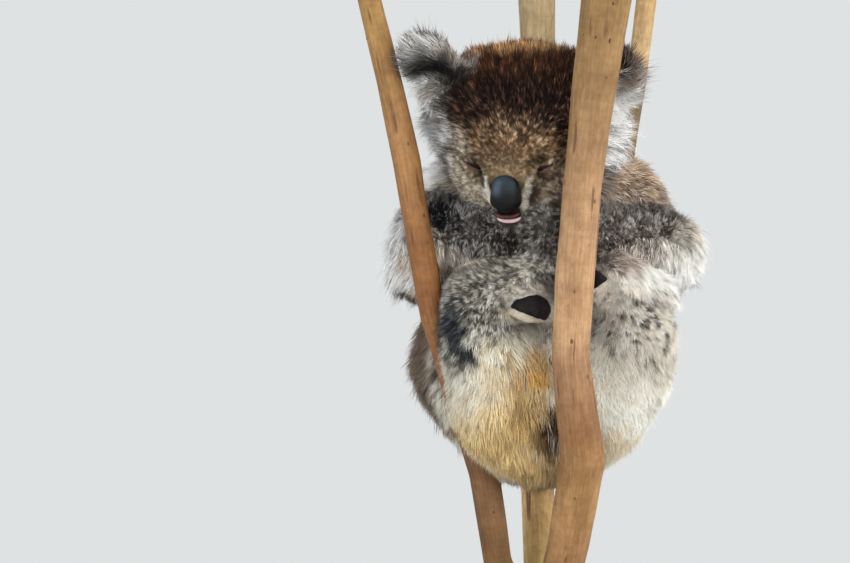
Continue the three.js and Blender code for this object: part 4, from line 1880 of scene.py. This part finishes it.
class Face:
    """The wet and bare parts of the face: eyeballs, lid rims and lower lip."""

    def __init__(self, head: HeadFrame, skin: Skin) -> None:
        """Note the head's frame and the skin's eye sizes."""
        self.head = head
        self.skin = skin

    def eyes(self, material: Finish) -> None:
        """Make both eyeballs as smooth spheres.

        Args:
            material: The eyes' finish.
        """
        for name in ("eye_left", "eye_right"):
            low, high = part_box(name)
            work = bmesh.new()
            bmesh.ops.create_uvsphere(
                work, u_segments=48, v_segments=24, radius=max(high - low) / 2.0
            )
            bmesh.ops.translate(work, verts=work.verts, vec=Vector(middle(name)))
            finish_piece(object_of(f"{name}ball", work), material, Slot.EYE, name)

    def rims(self, upper: Finish, lower: Finish) -> None:
        """Line the lids: a dark rim above and a moist pink one below.

        Args:
            upper: The finish of the dark rims.
            lower: The finish of the pink ones.
        """
        skin = self.skin
        for side, name in ((1, "left"), (-1, "right")):
            centre = np.array(skin.EYE_AT) * [side, 1.0, 1.0]
            t = np.linspace(-1, 1, 25)
            along = t * skin.SLIT
            for sign, part, material, girth in ((1, "upper", upper, 0.9), (-1, "lower", lower, 0.6)):
                rise = skin.slit_line(along) + sign * skin.slit_gap(along)
                out = np.sqrt((skin.EYE_BALL + 0.7) ** 2 - along**2 - rise**2)
                line = centre + np.column_stack([along, out, rise]) @ skin.eye_axes(side)
                thick = girth * np.sqrt(np.maximum(1 - t**2, 0.04))
                arrays = Tube(self.head.world(line), thick * MM).arrays()
                piece = closed_object(f"lid_rim_{part}_{name}", *arrays)
                finish_piece(piece, material, Slot.NOSE)

    def mouth(self, lip: Finish, gap: Finish) -> None:
        """Make the bare lower lip, a shallow crescent under the nose, and above it a dark tube that
        fills the mouth's gap as painted shade.

        Args:
            lip: The lip's finish.
            gap: The finish of the dark tube, painted shade in the mouth's gap.
        """
        t = np.linspace(-1, 1, 33)
        angle = t * math.radians(80)
        for name, wide, shift, forward, up, girth, material in (
            ("lower_lip", 10.4, 0.3, 78.5, -23.6, 1.7, lip),
            ("mouth_gap", 11.4, -1.6, 76.6, -20.5, 2.1, gap),
        ):
            side = wide * np.sin(angle) + shift
            line = np.column_stack([side, forward + 5.5 * np.cos(angle), up + 1.2 * t**2])
            thick = girth * np.sqrt(np.maximum(1.0 - np.abs(t) ** 2.2, 0.03)) * MM
            tube = Tube(self.head.world(line), thick, squash=0.8, sides=16)
            finish_piece(closed_object(name, *tube.arrays()), material, Slot.NOSE)


class Paws:
    """Claws and bare soles."""

    SIDES = 14                  # of a claw
    RINGS = 14
    THINNEST = 2.2 * MM         # half the thickness of a claw's root, at least
    VOXEL = 0.7 * MM            # of a sole
    MARGIN = 4.0 * MM
    PEBBLES = 0.25 * MM         # how high the small bumps of a sole are
    FOLDS = 0.8 * MM

    def claws(self, nodes: dict, material: Finish) -> None:
        """Remake every claw as a smooth curved horn along its CAD node, one piece a paw.

        Args:
            nodes: The CAD nodes by name.
            material: The horn's finish.
        """
        for paw in ("hand_left", "hand_right", "foot_left", "foot_right"):
            names = sorted(n for n in nodes if n.startswith(f"claw_{paw}_"))
            parts = [self.claw(mesh_arrays(nodes[n].data)[0]).arrays() for n in names]
            piece = closed_object(f"claws_{paw}", *joined(parts))
            finish_piece(piece, material, Slot.CLAW, *names)

    def claw(self, points: Array) -> Tube:
        """Follow one claw from its thick root to its thin tip.

        Args:
            points: The vertices of its CAD node.

        Returns:
            A smooth tube of the same curve.
        """
        ends = []
        for pick in (points[:, 0] < points[:, 0].min() + 0.4 * MM,
                     points[:, 0] > points[:, 0].max() - 0.4 * MM):
            ring = points[pick]
            ends.append((np.ptp(ring[:, 2]), ring.mean(axis=0)))
        (_, tip), (girth, root) = sorted(ends, key=lambda e: e[0])
        t = np.linspace(0, 1, self.RINGS)
        line = root + (tip - root) * t[:, None]
        line[:, 1] += (root[1] - tip[1]) * (t - t**2)
        radius = max(girth / 2.0, self.THINNEST) * (1.0 - 0.9 * t**1.7)
        return Tube(line, radius, squash=0.8, sides=self.SIDES)

    def soles(self, nodes: dict, material: Finish) -> None:
        """Round the bare soles and crease them.

        Args:
            nodes: The CAD nodes by name.
            material: The finish of the soles.
        """
        for foot in ("foot_left", "foot_right"):
            points, faces = mesh_arrays(nodes[f"pad_{foot}"].data)
            grid = Grid.around(points, self.MARGIN, self.VOXEL)
            field_ = grid.blur(grid.distance(points, faces, 5 * MM), 6)
            pebbles, folds = Noise(51, 2.2 * MM), Noise(52, 8 * MM)
            spots = grid.places()
            rough = self.PEBBLES * pebbles(spots) + self.FOLDS * folds(spots)
            edge = sole_edge(f"pad_{foot}", spots).reshape(grid.count).astype(np.float32)
            field_ = grid.blur(np.maximum(field_, edge), 3)
            field_ = field_ + rough.reshape(grid.count).astype(np.float32)
            piece = closed_object(f"sole_{foot}", *largest_shell(*grid.surface(field_)))
            finish_piece(piece, material, Slot.SOLE, f"pad_{foot}")


# ---- stand


@dataclass
class Stand:
    """The plain stand: a turned base with a rounded rim, and two rods with collars."""

    rim: float = 3.0 * MM
    rim_steps: int = 6
    turns: int = 128
    collar: float = 3.2 * MM     # how far a collar stands out from its rod
    collar_height: float = 3.0 * MM
    chamfer: float = 0.6 * MM
    groove: tuple = (14.0, 15.0, 16.4, 17.4)    # millimetres in from the edge
    groove_depth: float = 0.8 * MM

    def turned(self, name: str, profile: list[tuple[float, float]], at: Array) -> Piece:
        """Spin a profile of radius and height into a closed piece.

        Args:
            name: The piece's name.
            profile: From the axis at the bottom to the axis at the top.
            at: Where the bottom's middle stands.

        Returns:
            The new object.
        """
        work = bmesh.new()
        verts = [work.verts.new((r, 0, z)) for r, z in profile]
        edges = [work.edges.new(pair) for pair in zip(verts, verts[1:])]
        bmesh.ops.spin(work, geom=verts + edges, cent=(0, 0, 0), axis=(0, 0, 1),
                       angle=2 * math.pi, steps=self.turns, use_merge=True)
        bmesh.ops.remove_doubles(work, verts=work.verts, dist=1e-6)
        bmesh.ops.translate(work, verts=work.verts, vec=Vector(at))
        bmesh.ops.recalc_face_normals(work, faces=work.faces)
        return object_of(name, work)

    def build(self, wood: Finish, steel: Finish) -> None:
        """Make the base and the rods from the boxes of their CAD nodes.

        Args:
            wood: The base's finish.
            steel: The rods' finish.
        """
        low, high = (np.array(c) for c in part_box("stand_base"))
        radius, height = (high - low)[0] / 2.0, (high - low)[2]
        turn = np.linspace(-90, 0, self.rim_steps) / 180 * math.pi
        foot = [(radius - self.rim + self.rim * math.cos(a), self.rim + self.rim * math.sin(a))
                for a in turn]
        head = [(r, height - z) for r, z in reversed(foot)]
        cuts = zip(self.groove, (0.0, self.groove_depth, self.groove_depth, 0.0))
        groove = [(radius - inward * MM, height - deep) for inward, deep in cuts]
        profile = [(0, 0), *foot, *head, *groove, (0, height)]
        middle_at = (low + high) / 2.0
        base = self.turned("stand_base_turned", profile, [middle_at[0], middle_at[1], low[2]])
        finish_piece(base, wood, Slot.STAND_WOOD, "stand_base")
        for side in ("left", "right"):
            low, high = (np.array(c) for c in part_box(f"stand_rod_{side}"))
            r, tall = (high - low)[0] / 2.0, (high - low)[2]
            wide, ring, cut = r + self.collar, self.collar_height, self.chamfer
            profile = [(0, 0), (wide - cut, 0), (wide, cut), (wide, ring - cut),
                       (wide - cut, ring), (r, ring), (r, tall), (0, tall)]
            spot = [(low[0] + high[0]) / 2.0, (low[1] + high[1]) / 2.0, low[2]]
            rod = self.turned(f"stand_rod_{side}_turned", profile, spot)
            finish_piece(rod, steel, Slot.STAND_STEEL, f"stand_rod_{side}")


# ---- finishes


class Nodes:
    """A shorthand for wiring one node tree."""

    def __init__(self, tree: bpy.types.NodeTree) -> None:
        """Hold the tree."""
        self.tree = tree

    def add(self, kind: str, **settings: object) -> bpy.types.Node:
        """Add a node and set its own properties.

        Args:
            kind: The node's type name.
            settings: Its own properties.

        Returns:
            The new node.
        """
        node = self.tree.nodes.new(kind)
        for key, value in settings.items():
            setattr(node, key, value)
        return node

    def link(self, out: Socket, into: Socket) -> None:
        """Join two sockets."""
        self.tree.links.new(out, into)

    def noise(self, where: Socket, scale: float, detail: float = 3.0,
              distortion: float = 0.0) -> Socket:
        """Add smooth noise and give its value.

        Args:
            where: Coordinates.
            scale: How many swells there are in a unit.
            detail: How many finer layers it has.
            distortion: How far it is twisted.

        Returns:
            The noise, from 0 to 1.
        """
        node = self.add("ShaderNodeTexNoise")
        fill(node, Scale=scale, Detail=detail, Distortion=distortion)
        self.link(where, node.inputs["Vector"])
        return node.outputs["Fac"]

    def cloud(self, where: Socket, scale: float, detail: float, dark: tuple,
              light: tuple) -> tuple[Socket, Socket]:
        """Shade between two colours by the shared group.

        Args:
            where: Coordinates.
            scale: Lumps a metre.
            detail: How finely the noise is broken up.
            dark: The colour where the noise is low.
            light: The colour where it is high.

        Returns:
            The shade and the height.
        """
        node = self.add("ShaderNodeGroup", node_tree=clouding())
        fill(node, Scale=scale, Detail=detail, Dark=dark, Light=light)
        self.link(where, node.inputs["Place"])
        return node.outputs["Shade"], node.outputs["Height"]

    def stretch(self, where: Socket, scale: tuple) -> Socket:
        """Scale coordinates along each axis.

        Args:
            where: Coordinates.
            scale: One factor for each axis.

        Returns:
            The scaled coordinates.
        """
        node = self.add("ShaderNodeMapping")
        fill(node, Scale=scale)
        self.link(where, node.inputs["Vector"])
        return node.outputs["Vector"]

    def ramp(self, value: Socket, *stops: tuple[float, tuple]) -> Socket:
        """Turn a value into a colour by stops of position and colour.

        Args:
            value: What chooses the colour.
            stops: Each a position and a colour.

        Returns:
            The colour.
        """
        node = self.add("ShaderNodeValToRGB")
        elements = node.color_ramp.elements
        while len(elements) < len(stops):
            elements.new(0.5)
        for element, (place, colour) in zip(elements, stops):
            element.position = place
            element.color = colour
        self.link(value, node.inputs["Fac"])
        return node.outputs["Color"]

    def blend(self, a: object, b: object, share: object, mode: str = "MIX") -> Socket:
        """Mix two colours; each of the three may be a socket or a plain value.

        Args:
            a: The first colour.
            b: The second.
            share: How much of the second.
            mode: How they are mixed.

        Returns:
            The mixed colour.
        """
        node = self.add("ShaderNodeMix", data_type="RGBA", blend_type=mode)
        for socket, value in ((node.inputs[0], share), (node.inputs[6], a), (node.inputs[7], b)):
            if isinstance(value, Socket):
                self.link(value, socket)
            else:
                socket.default_value = value
        return node.outputs[2]

    def bump(self, height: Socket, strength: float, depth: float) -> Socket:
        """Turn a height into a normal.

        Args:
            height: The height to follow.
            strength: How much of it counts.
            depth: How high it is, in metres.

        Returns:
            The normal.
        """
        node = self.add("ShaderNodeBump")
        fill(node, Strength=strength, Distance=depth)
        self.link(height, node.inputs["Height"])
        return node.outputs["Normal"]


def clouding() -> bpy.types.NodeTree:
    """Give the group that shades between two colours by soft noise, built when first asked for.

    Returns:
        The group: Place, Scale, Detail, Dark and Light in; Shade and Height out.
    """
    group = bpy.data.node_groups.get("clouding")
    if group is not None:
        return group
    group = bpy.data.node_groups.new("clouding", "ShaderNodeTree")
    sockets = group.interface
    sockets.new_socket("Place", in_out="INPUT", socket_type="NodeSocketVector")
    for name, value in (("Scale", 100.0), ("Detail", 3.0)):
        socket = sockets.new_socket(name, in_out="INPUT", socket_type="NodeSocketFloat")
        socket.default_value = value
    for name, value in (("Dark", 0.5), ("Light", 1.0)):
        socket = sockets.new_socket(name, in_out="INPUT", socket_type="NodeSocketColor")
        socket.default_value = (value, value, value, 1.0)
    sockets.new_socket("Shade", in_out="OUTPUT", socket_type="NodeSocketColor")
    sockets.new_socket("Height", in_out="OUTPUT", socket_type="NodeSocketFloat")
    nodes = Nodes(group)
    start, end = nodes.add("NodeGroupInput"), nodes.add("NodeGroupOutput")
    noise = nodes.add("ShaderNodeTexNoise")
    for into, name in (("Vector", "Place"), ("Scale", "Scale"), ("Detail", "Detail")):
        nodes.link(start.outputs[name], noise.inputs[into])
    spread = nodes.add("ShaderNodeMapRange")
    fill(spread, From_Min=0.32, From_Max=0.68)
    nodes.link(noise.outputs["Fac"], spread.inputs["Value"])
    shade = nodes.blend(start.outputs["Dark"], start.outputs["Light"], spread.outputs["Result"])
    nodes.link(shade, end.inputs["Shade"])
    nodes.link(noise.outputs["Fac"], end.inputs["Height"])
    return group


def new_material(name: str) -> tuple[Finish, Nodes, bpy.types.Node]:
    """Start a material.

    Args:
        name: The material's name.

    Returns:
        The material, its wiring, and its surface shader.
    """
    material = bpy.data.materials.new(name)
    material.use_nodes = True
    shader = material.node_tree.nodes["Principled BSDF"]
    return material, Nodes(material.node_tree), shader


@dataclass(frozen=True)
class Pelt:
    """Hair or hide that takes its colour from the markings painted on the mesh."""

    name: str
    roughness: float
    sheen: float
    grain: float = 0.0          # how far fine noise lightens and darkens it
    grain_size: float = 1.4 * MM

    def build(self) -> Finish:
        """Make the material.

        Returns:
            The new material.
        """
        material, nodes, shader = new_material(self.name)
        colour = nodes.add("ShaderNodeAttribute", attribute_name="pelt").outputs["Color"]
        if self.grain > 0.0:
            where = nodes.add("ShaderNodeTexCoord").outputs["Object"]
            shade, fine = nodes.cloud(where, 1.0 / self.grain_size, 2.0, grey(1.0 - self.grain),
                                      grey(1.0 + self.grain))
            colour = nodes.blend(colour, shade, 1.0, "MULTIPLY")
            nodes.link(nodes.bump(fine, 0.4, 0.3 * MM), shader.inputs["Normal"])
        nodes.link(colour, shader.inputs["Base Color"])
        fill(shader, Roughness=self.roughness, Specular_IOR_Level=0.1, Sheen_Weight=self.sheen,
             Sheen_Roughness=0.5)
        return material


@dataclass(frozen=True)
class Leather:
    """Bare skin with a fine pebble: the nose, the soles, lips and lid rims."""

    name: str
    dark: int
    light: int
    roughness: float
    pebble: float = 1.1 * MM
    depth: float = 0.12 * MM
    gloss: float = 0.5
    painted: bool = False       # whether the mesh carries its colours

    def build(self) -> Finish:
        """Make the material.

        Returns:
            The new material.
        """
        material, nodes, shader = new_material(self.name)
        where = nodes.add("ShaderNodeTexCoord").outputs["Object"]
        cells = nodes.add("ShaderNodeTexVoronoi")
        fill(cells, Scale=1.0 / self.pebble)
        nodes.link(where, cells.inputs["Vector"])
        colour, _ = nodes.cloud(where, 1.0 / (9 * MM), 3.0, rgba(self.dark), rgba(self.light))
        if self.painted:
            tint = nodes.add("ShaderNodeAttribute", attribute_name="pelt").outputs["Color"]
            colour = nodes.blend(tint, colour, 1.0, "MULTIPLY")
        nodes.link(colour, shader.inputs["Base Color"])
        nodes.link(nodes.bump(cells.outputs["Distance"], 0.5, self.depth), shader.inputs["Normal"])
        fill(shader, Roughness=self.roughness, Specular_IOR_Level=self.gloss)
        return material


@dataclass(frozen=True)
class Bark:
    """Smooth eucalypt bark: each stem's colour with painted light and shade, clouded, finely streaked,
    with dark flecks.
    """

    crack: int = 0x5A3A24
    fleck: int = 0x3C2418
    trail: int = 0x7A4E30       # the wandering trails of grubs

    def build(self) -> Finish:
        """Make the material.

        Returns:
            The new material.
        """
        material, nodes, shader = new_material("bark")
        colour = nodes.add("ShaderNodeAttribute", attribute_name="stem").outputs["Color"]
        grain = nodes.add("ShaderNodeAttribute", attribute_name="grain").outputs["Vector"]
        layers = (
            ((1, 1, 0.5), 42.0, 4.0, (0.80, 0.76, 0.72, 1), (1.16, 1.18, 1.20, 1)),
            ((1, 1, 0.7), 210.0, 3.0, (0.88, 0.86, 0.84, 1), (1.10, 1.11, 1.12, 1)),
            ((1, 1, 0.05), 520.0, 4.0, (0.84, 0.82, 0.80, 1), (1.12, 1.12, 1.12, 1)),
            ((0.3, 0.3, 2.6), 70.0, 3.0, (0.93, 0.92, 0.91, 1), (1.05, 1.05, 1.05, 1)),
        )
        heights = []
        for stretch, scale, detail, dark, light in layers:
            shade, height = nodes.cloud(nodes.stretch(grain, stretch), scale, detail, dark, light)
            colour = nodes.blend(colour, shade, 1.0, "MULTIPLY")
            heights.append(height)
        cracks = nodes.noise(nodes.stretch(grain, (1, 1, 0.07)), 150.0, 2.0)
        spread = nodes.noise(grain, 26.0, 2.0)
        crack = nodes.ramp(cracks, (0.62, grey(0.0)), (0.67, grey(0.8)))
        patchy = nodes.ramp(spread, (0.46, grey(0.0)), (0.56, grey(1.0)))
        crack = nodes.blend(crack, patchy, 1.0, "MULTIPLY")
        colour = nodes.blend(colour, rgba(self.crack), crack)
        trail = nodes.noise(nodes.stretch(grain, (1, 1, 0.45)), 62.0, 1.5, 1.6)
        scribble = nodes.ramp(trail, (0.488, grey(0.0)), (0.5, grey(0.5)), (0.512, grey(0.0)))
        gaps = nodes.ramp(spread, (0.5, grey(1.0)), (0.58, grey(0.0)))
        scribble = nodes.blend(scribble, gaps, 1.0, "MULTIPLY")
        colour = nodes.blend(colour, rgba(self.trail), scribble)
        flecks = nodes.noise(nodes.stretch(grain, (1, 1, 0.6)), 150.0, 1.0)
        dots = nodes.ramp(flecks, (0.77, grey(0.0)), (0.80, grey(1.0)))
        colour = nodes.blend(colour, rgba(self.fleck), dots)
        nodes.link(colour, shader.inputs["Base Color"])
        height = nodes.blend(nodes.blend(heights[2], heights[1], 0.5), crack, 0.6, "SUBTRACT")
        nodes.link(nodes.bump(height, 0.6, 0.5 * MM), shader.inputs["Normal"])
        fill(shader, Roughness=0.7, Specular_IOR_Level=0.3)
        return material


@dataclass(frozen=True)
class Wood:
    """Dark stained timber with a satin polish."""

    dark: int = 0x2A1B12
    light: int = 0x4A3120

    def build(self) -> Finish:
        """Make the material.

        Returns:
            The new material.
        """
        material, nodes, shader = new_material("stand_wood")
        where = nodes.add("ShaderNodeTexCoord").outputs["Object"]
        along = nodes.stretch(where, (1, 14, 14))
        colour, grain = nodes.cloud(along, 9.0, 5.0, rgba(self.dark), rgba(self.light))
        nodes.link(colour, shader.inputs["Base Color"])
        nodes.link(nodes.bump(grain, 0.25, 0.2 * MM), shader.inputs["Normal"])
        fill(shader, Roughness=0.38, Coat_Weight=0.3, Coat_Roughness=0.3)
        return material


@dataclass(frozen=True)
class Plain:
    """A smooth material of one colour, slightly clouded: steel, horn or the moist eye."""

    name: str
    colour: int
    roughness: float
    metallic: float = 0.0
    coat: float = 0.0

    def build(self) -> Finish:
        """Make the material.

        Returns:
            The new material.
        """
        material, nodes, shader = new_material(self.name)
        where = nodes.add("ShaderNodeTexCoord").outputs["Object"]
        shade, _ = nodes.cloud(where, 1.0 / (6 * MM), 3.0, grey(0.75), grey(1.15))
        nodes.link(nodes.blend(rgba(self.colour), shade, 1.0, "MULTIPLY"), shader.inputs["Base Color"])
        fill(shader, Roughness=self.roughness, Metallic=self.metallic, Coat_Weight=self.coat)
        return material


# ---- studio


@dataclass
class Studio:
    """Floor, light and camera."""

    distance: float = 4.2        # from the camera to the plane through the stand's middle
    view_width: float = 0.7395   # what the picture spans at that plane
    aim_x: float = -0.1044
    aim_z: float = 0.1814        # above the rump's underside
    backdrop: tuple = (0.74, 0.76, 0.76)
    ground: tuple = (0.50, 0.515, 0.515)
    ambient: tuple = (0.70, 0.71, 0.72)
    fade: tuple = (0.5, 2.0)     # where the floor starts and ends turning into the backdrop

    def floor(self) -> None:
        """Lay a wide pale floor that turns into the backdrop's colour away from the stand."""
        size = 30.0
        points = np.array([[-size, -size, 0], [size, -size, 0], [size, size, 0], [-size, size, 0]])
        piece = new_object("floor", points, np.array([[0, 1, 2, 3]]))
        material, nodes, shader = new_material("floor")
        fill(shader, Base_Color=(*self.ground, 1), Roughness=0.9)
        far = nodes.add("ShaderNodeVectorMath", operation="LENGTH")
        nodes.link(nodes.add("ShaderNodeTexCoord").outputs["Object"], far.inputs[0])
        fade = nodes.add("ShaderNodeMapRange", interpolation_type="SMOOTHSTEP")
        fill(fade, From_Min=self.fade[0], From_Max=self.fade[1])
        nodes.link(far.outputs["Value"], fade.inputs["Value"])
        glow = nodes.add("ShaderNodeEmission")
        fill(glow, Color=(*self.backdrop, 1))
        both = nodes.add("ShaderNodeMixShader")
        nodes.link(fade.outputs["Result"], both.inputs[0])
        nodes.link(shader.outputs[0], both.inputs[1])
        nodes.link(glow.outputs[0], both.inputs[2])
        nodes.link(both.outputs[0], material.node_tree.nodes["Material Output"].inputs["Surface"])
        piece.data.materials.append(material)

    def world(self) -> None:
        """Fill the room with soft light, and show a pale backdrop to the camera and in reflections."""
        world = bpy.data.worlds.new("room")
        bpy.context.scene.world = world
        world.use_nodes = True
        nodes = Nodes(world.node_tree)
        back = world.node_tree.nodes["Background"]
        path = nodes.add("ShaderNodeLightPath").outputs
        seen = path["Is Camera Ray"]
        for ray in ("Is Glossy Ray", "Is Transmission Ray"):
            both = nodes.add("ShaderNodeMath", operation="MAXIMUM")
            nodes.link(seen, both.inputs[0])
            nodes.link(path[ray], both.inputs[1])
            seen = both.outputs["Value"]
        colour = nodes.blend((*self.ambient, 1), (*self.backdrop, 1), seen)
        nodes.link(colour, back.inputs["Color"])

    def lamp(self, name: str, at: tuple, size: float, power: float, colour: tuple) -> None:
        """Hang one square soft light that faces the animal.

        Args:
            name: The lamp's name.
            at: Where it hangs.
            size: The length of its sides.
            power: Its power in watts.
            colour: Linear red, green and blue.
        """
        light = bpy.data.lights.new(name, "AREA")
        light.size = size
        light.energy = power
        light.color = colour
        lamp = linked(name, light)
        lamp.location = at
        aim = Vector((0, 0, 0.4)) - Vector(at)
        lamp.rotation_euler = aim.to_track_quat("-Z", "Y").to_euler()
        lamp.visible_camera = False

    def lights(self) -> None:
        """Hang the lamps: a broad key to the right, one on each side, one low and one behind."""
        self.lamp("key", (1.4, -3.2, 1.4), 1.8, 74.0, (1.0, 0.98, 0.94))
        self.lamp("side", (2.9, -0.4, 0.9), 1.6, 54.0, (1.0, 0.98, 0.94))
        self.lamp("fill", (-2.3, -2.3, 1.0), 2.2, 58.0, (0.94, 0.97, 1.0))
        self.lamp("low", (0.0, -2.8, 0.3), 1.2, 8.0, (1.0, 0.99, 0.97))
        self.lamp("back", (-0.6, 2.8, 2.2), 1.6, 50.0, (1.0, 1.0, 1.0))

    def camera(self) -> None:
        """Set the camera level, at the animal's chest."""
        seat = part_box("trunk")[0].z
        data = bpy.data.cameras.new("camera")
        data.lens = data.sensor_width * self.distance / self.view_width
        data.clip_end = 100.0
        camera = linked("camera", data)
        camera.location = (self.aim_x, -self.distance, seat + self.aim_z)
        camera.rotation_euler = (math.pi / 2, 0.0, 0.0)
        bpy.context.scene.camera = camera


# ---- putting it together


def solids(nodes: dict, grid: Grid, kinds: tuple[str, ...], band: float) -> Array:
    """Measure the distance from some of the CAD's solids.

    Args:
        nodes: The CAD nodes.
        grid: The voxels to measure at.
        kinds: How the names of the wanted nodes begin.
        band: How far from the solids distances are kept apart.

    Returns:
        One value for each voxel, below 0 inside the solids.
    """
    field_ = np.full(grid.count, band, np.float32)
    for name, node in nodes.items():
        if name.startswith(kinds):
            field_ = np.minimum(field_, grid.distance(*mesh_arrays(node.data), band))
    return field_


def main() -> None:
    """Build the koala, its perch, its stand and the studio."""
    logging.basicConfig(level=logging.INFO, format="%(message)s")
    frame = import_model()
    nodes, record = frame["nodes"], frame["record"]
    flesh = [s["node"] for s in record["subparts"] if s["material_slot"] == Slot.COAT.value]

    bpy.context.scene.view_settings.view_transform = "Standard"
    studio = Studio()
    studio.camera()
    studio.floor()
    studio.world()
    studio.lights()

    head = HeadFrame()
    markings = Markings(head)
    skin = Skin(nodes, flesh, head)
    skin.grow(*(solids(nodes, skin.grid, kinds, skin.BAND)
                for kinds in (("perch_",), ("eye_", "nose"), ("pad_",))))
    skin.finish(markings, Pelt("hide", 0.95, 0.0, 0.25).build())

    hard = solids(nodes, skin.grid, ("perch_", "nose", "eye_", "pad_"), 8 * MM)
    unwrap, fur = Unwrap(skin), Pelt("fur", 0.8, 0.02).build()
    wool = Coat(Tuft.SPIKE, 170_000, 4, 7, unruly=24.0, clump_size=2.2 * MM, clump_pull=0.3)
    hair = Coat(Tuft.BLADE, 130_000, 4, 8, sway=32.0, clump_size=8 * MM, clump_pull=0.55,
                softness=0.78, fleck=1.5, fleck_size=2.0 * MM)
    for coat in (wool, hair):
        coat.sow(skin)
        coat.comb(skin)
        coat.keep_clear(skin.grid, skin.field, 0.8 * MM)
        coat.keep_clear(skin.grid, hard, 0.6 * MM)
        coat.shape(skin)
        coat.build(skin, unwrap, fur)

    perch = Perch(nodes)
    perch.grow()
    perch.finish(Bark().build())
    Scars().build(perch.piece, Plain("bark_scar", 0x6B4A30, 0.8).build())

    pink = Leather("lip_skin", 0xA38384, 0xC9ABAB, 0.5, 0.9 * MM, 0.05 * MM, gloss=0.3).build()
    dark = Leather("lid_skin", 0x0E0908, 0x1C1412, 0.5, 0.9 * MM, 0.05 * MM, gloss=0.2).build()
    bare = Leather("nose_leather", 0xD0D0D0, 0xFFFFFF, 0.55, gloss=0.18, painted=True).build()
    Nose(nodes, head).build(bare)
    face = Face(head, skin)
    face.eyes(Plain("eye", 0x1A0F0A, 0.08, coat=1.0).build())
    face.rims(dark, Leather("lid_lining", 0x4A2C28, 0x6A443D, 0.45, 0.9 * MM, 0.05 * MM).build())
    # the mouth's gap is a dark tube of painted shade
    face.mouth(pink, Leather("mouth_skin", 0x2A1110, 0x4C2624, 0.5, gloss=0.3).build())
    paws = Paws()
    paws.claws(nodes, Plain("claw", 0x2E2823, 0.35, coat=0.3).build())
    paws.soles(nodes, Leather("sole_leather", 0x0C080A, 0x1C1418, 0.6, 1.6 * MM, gloss=0.15).build())
    Stand().build(Wood().build(), Plain("stand_steel", 0xB5B7BA, 0.3, metallic=1.0).build())


if __name__ == "__main__":
    main()
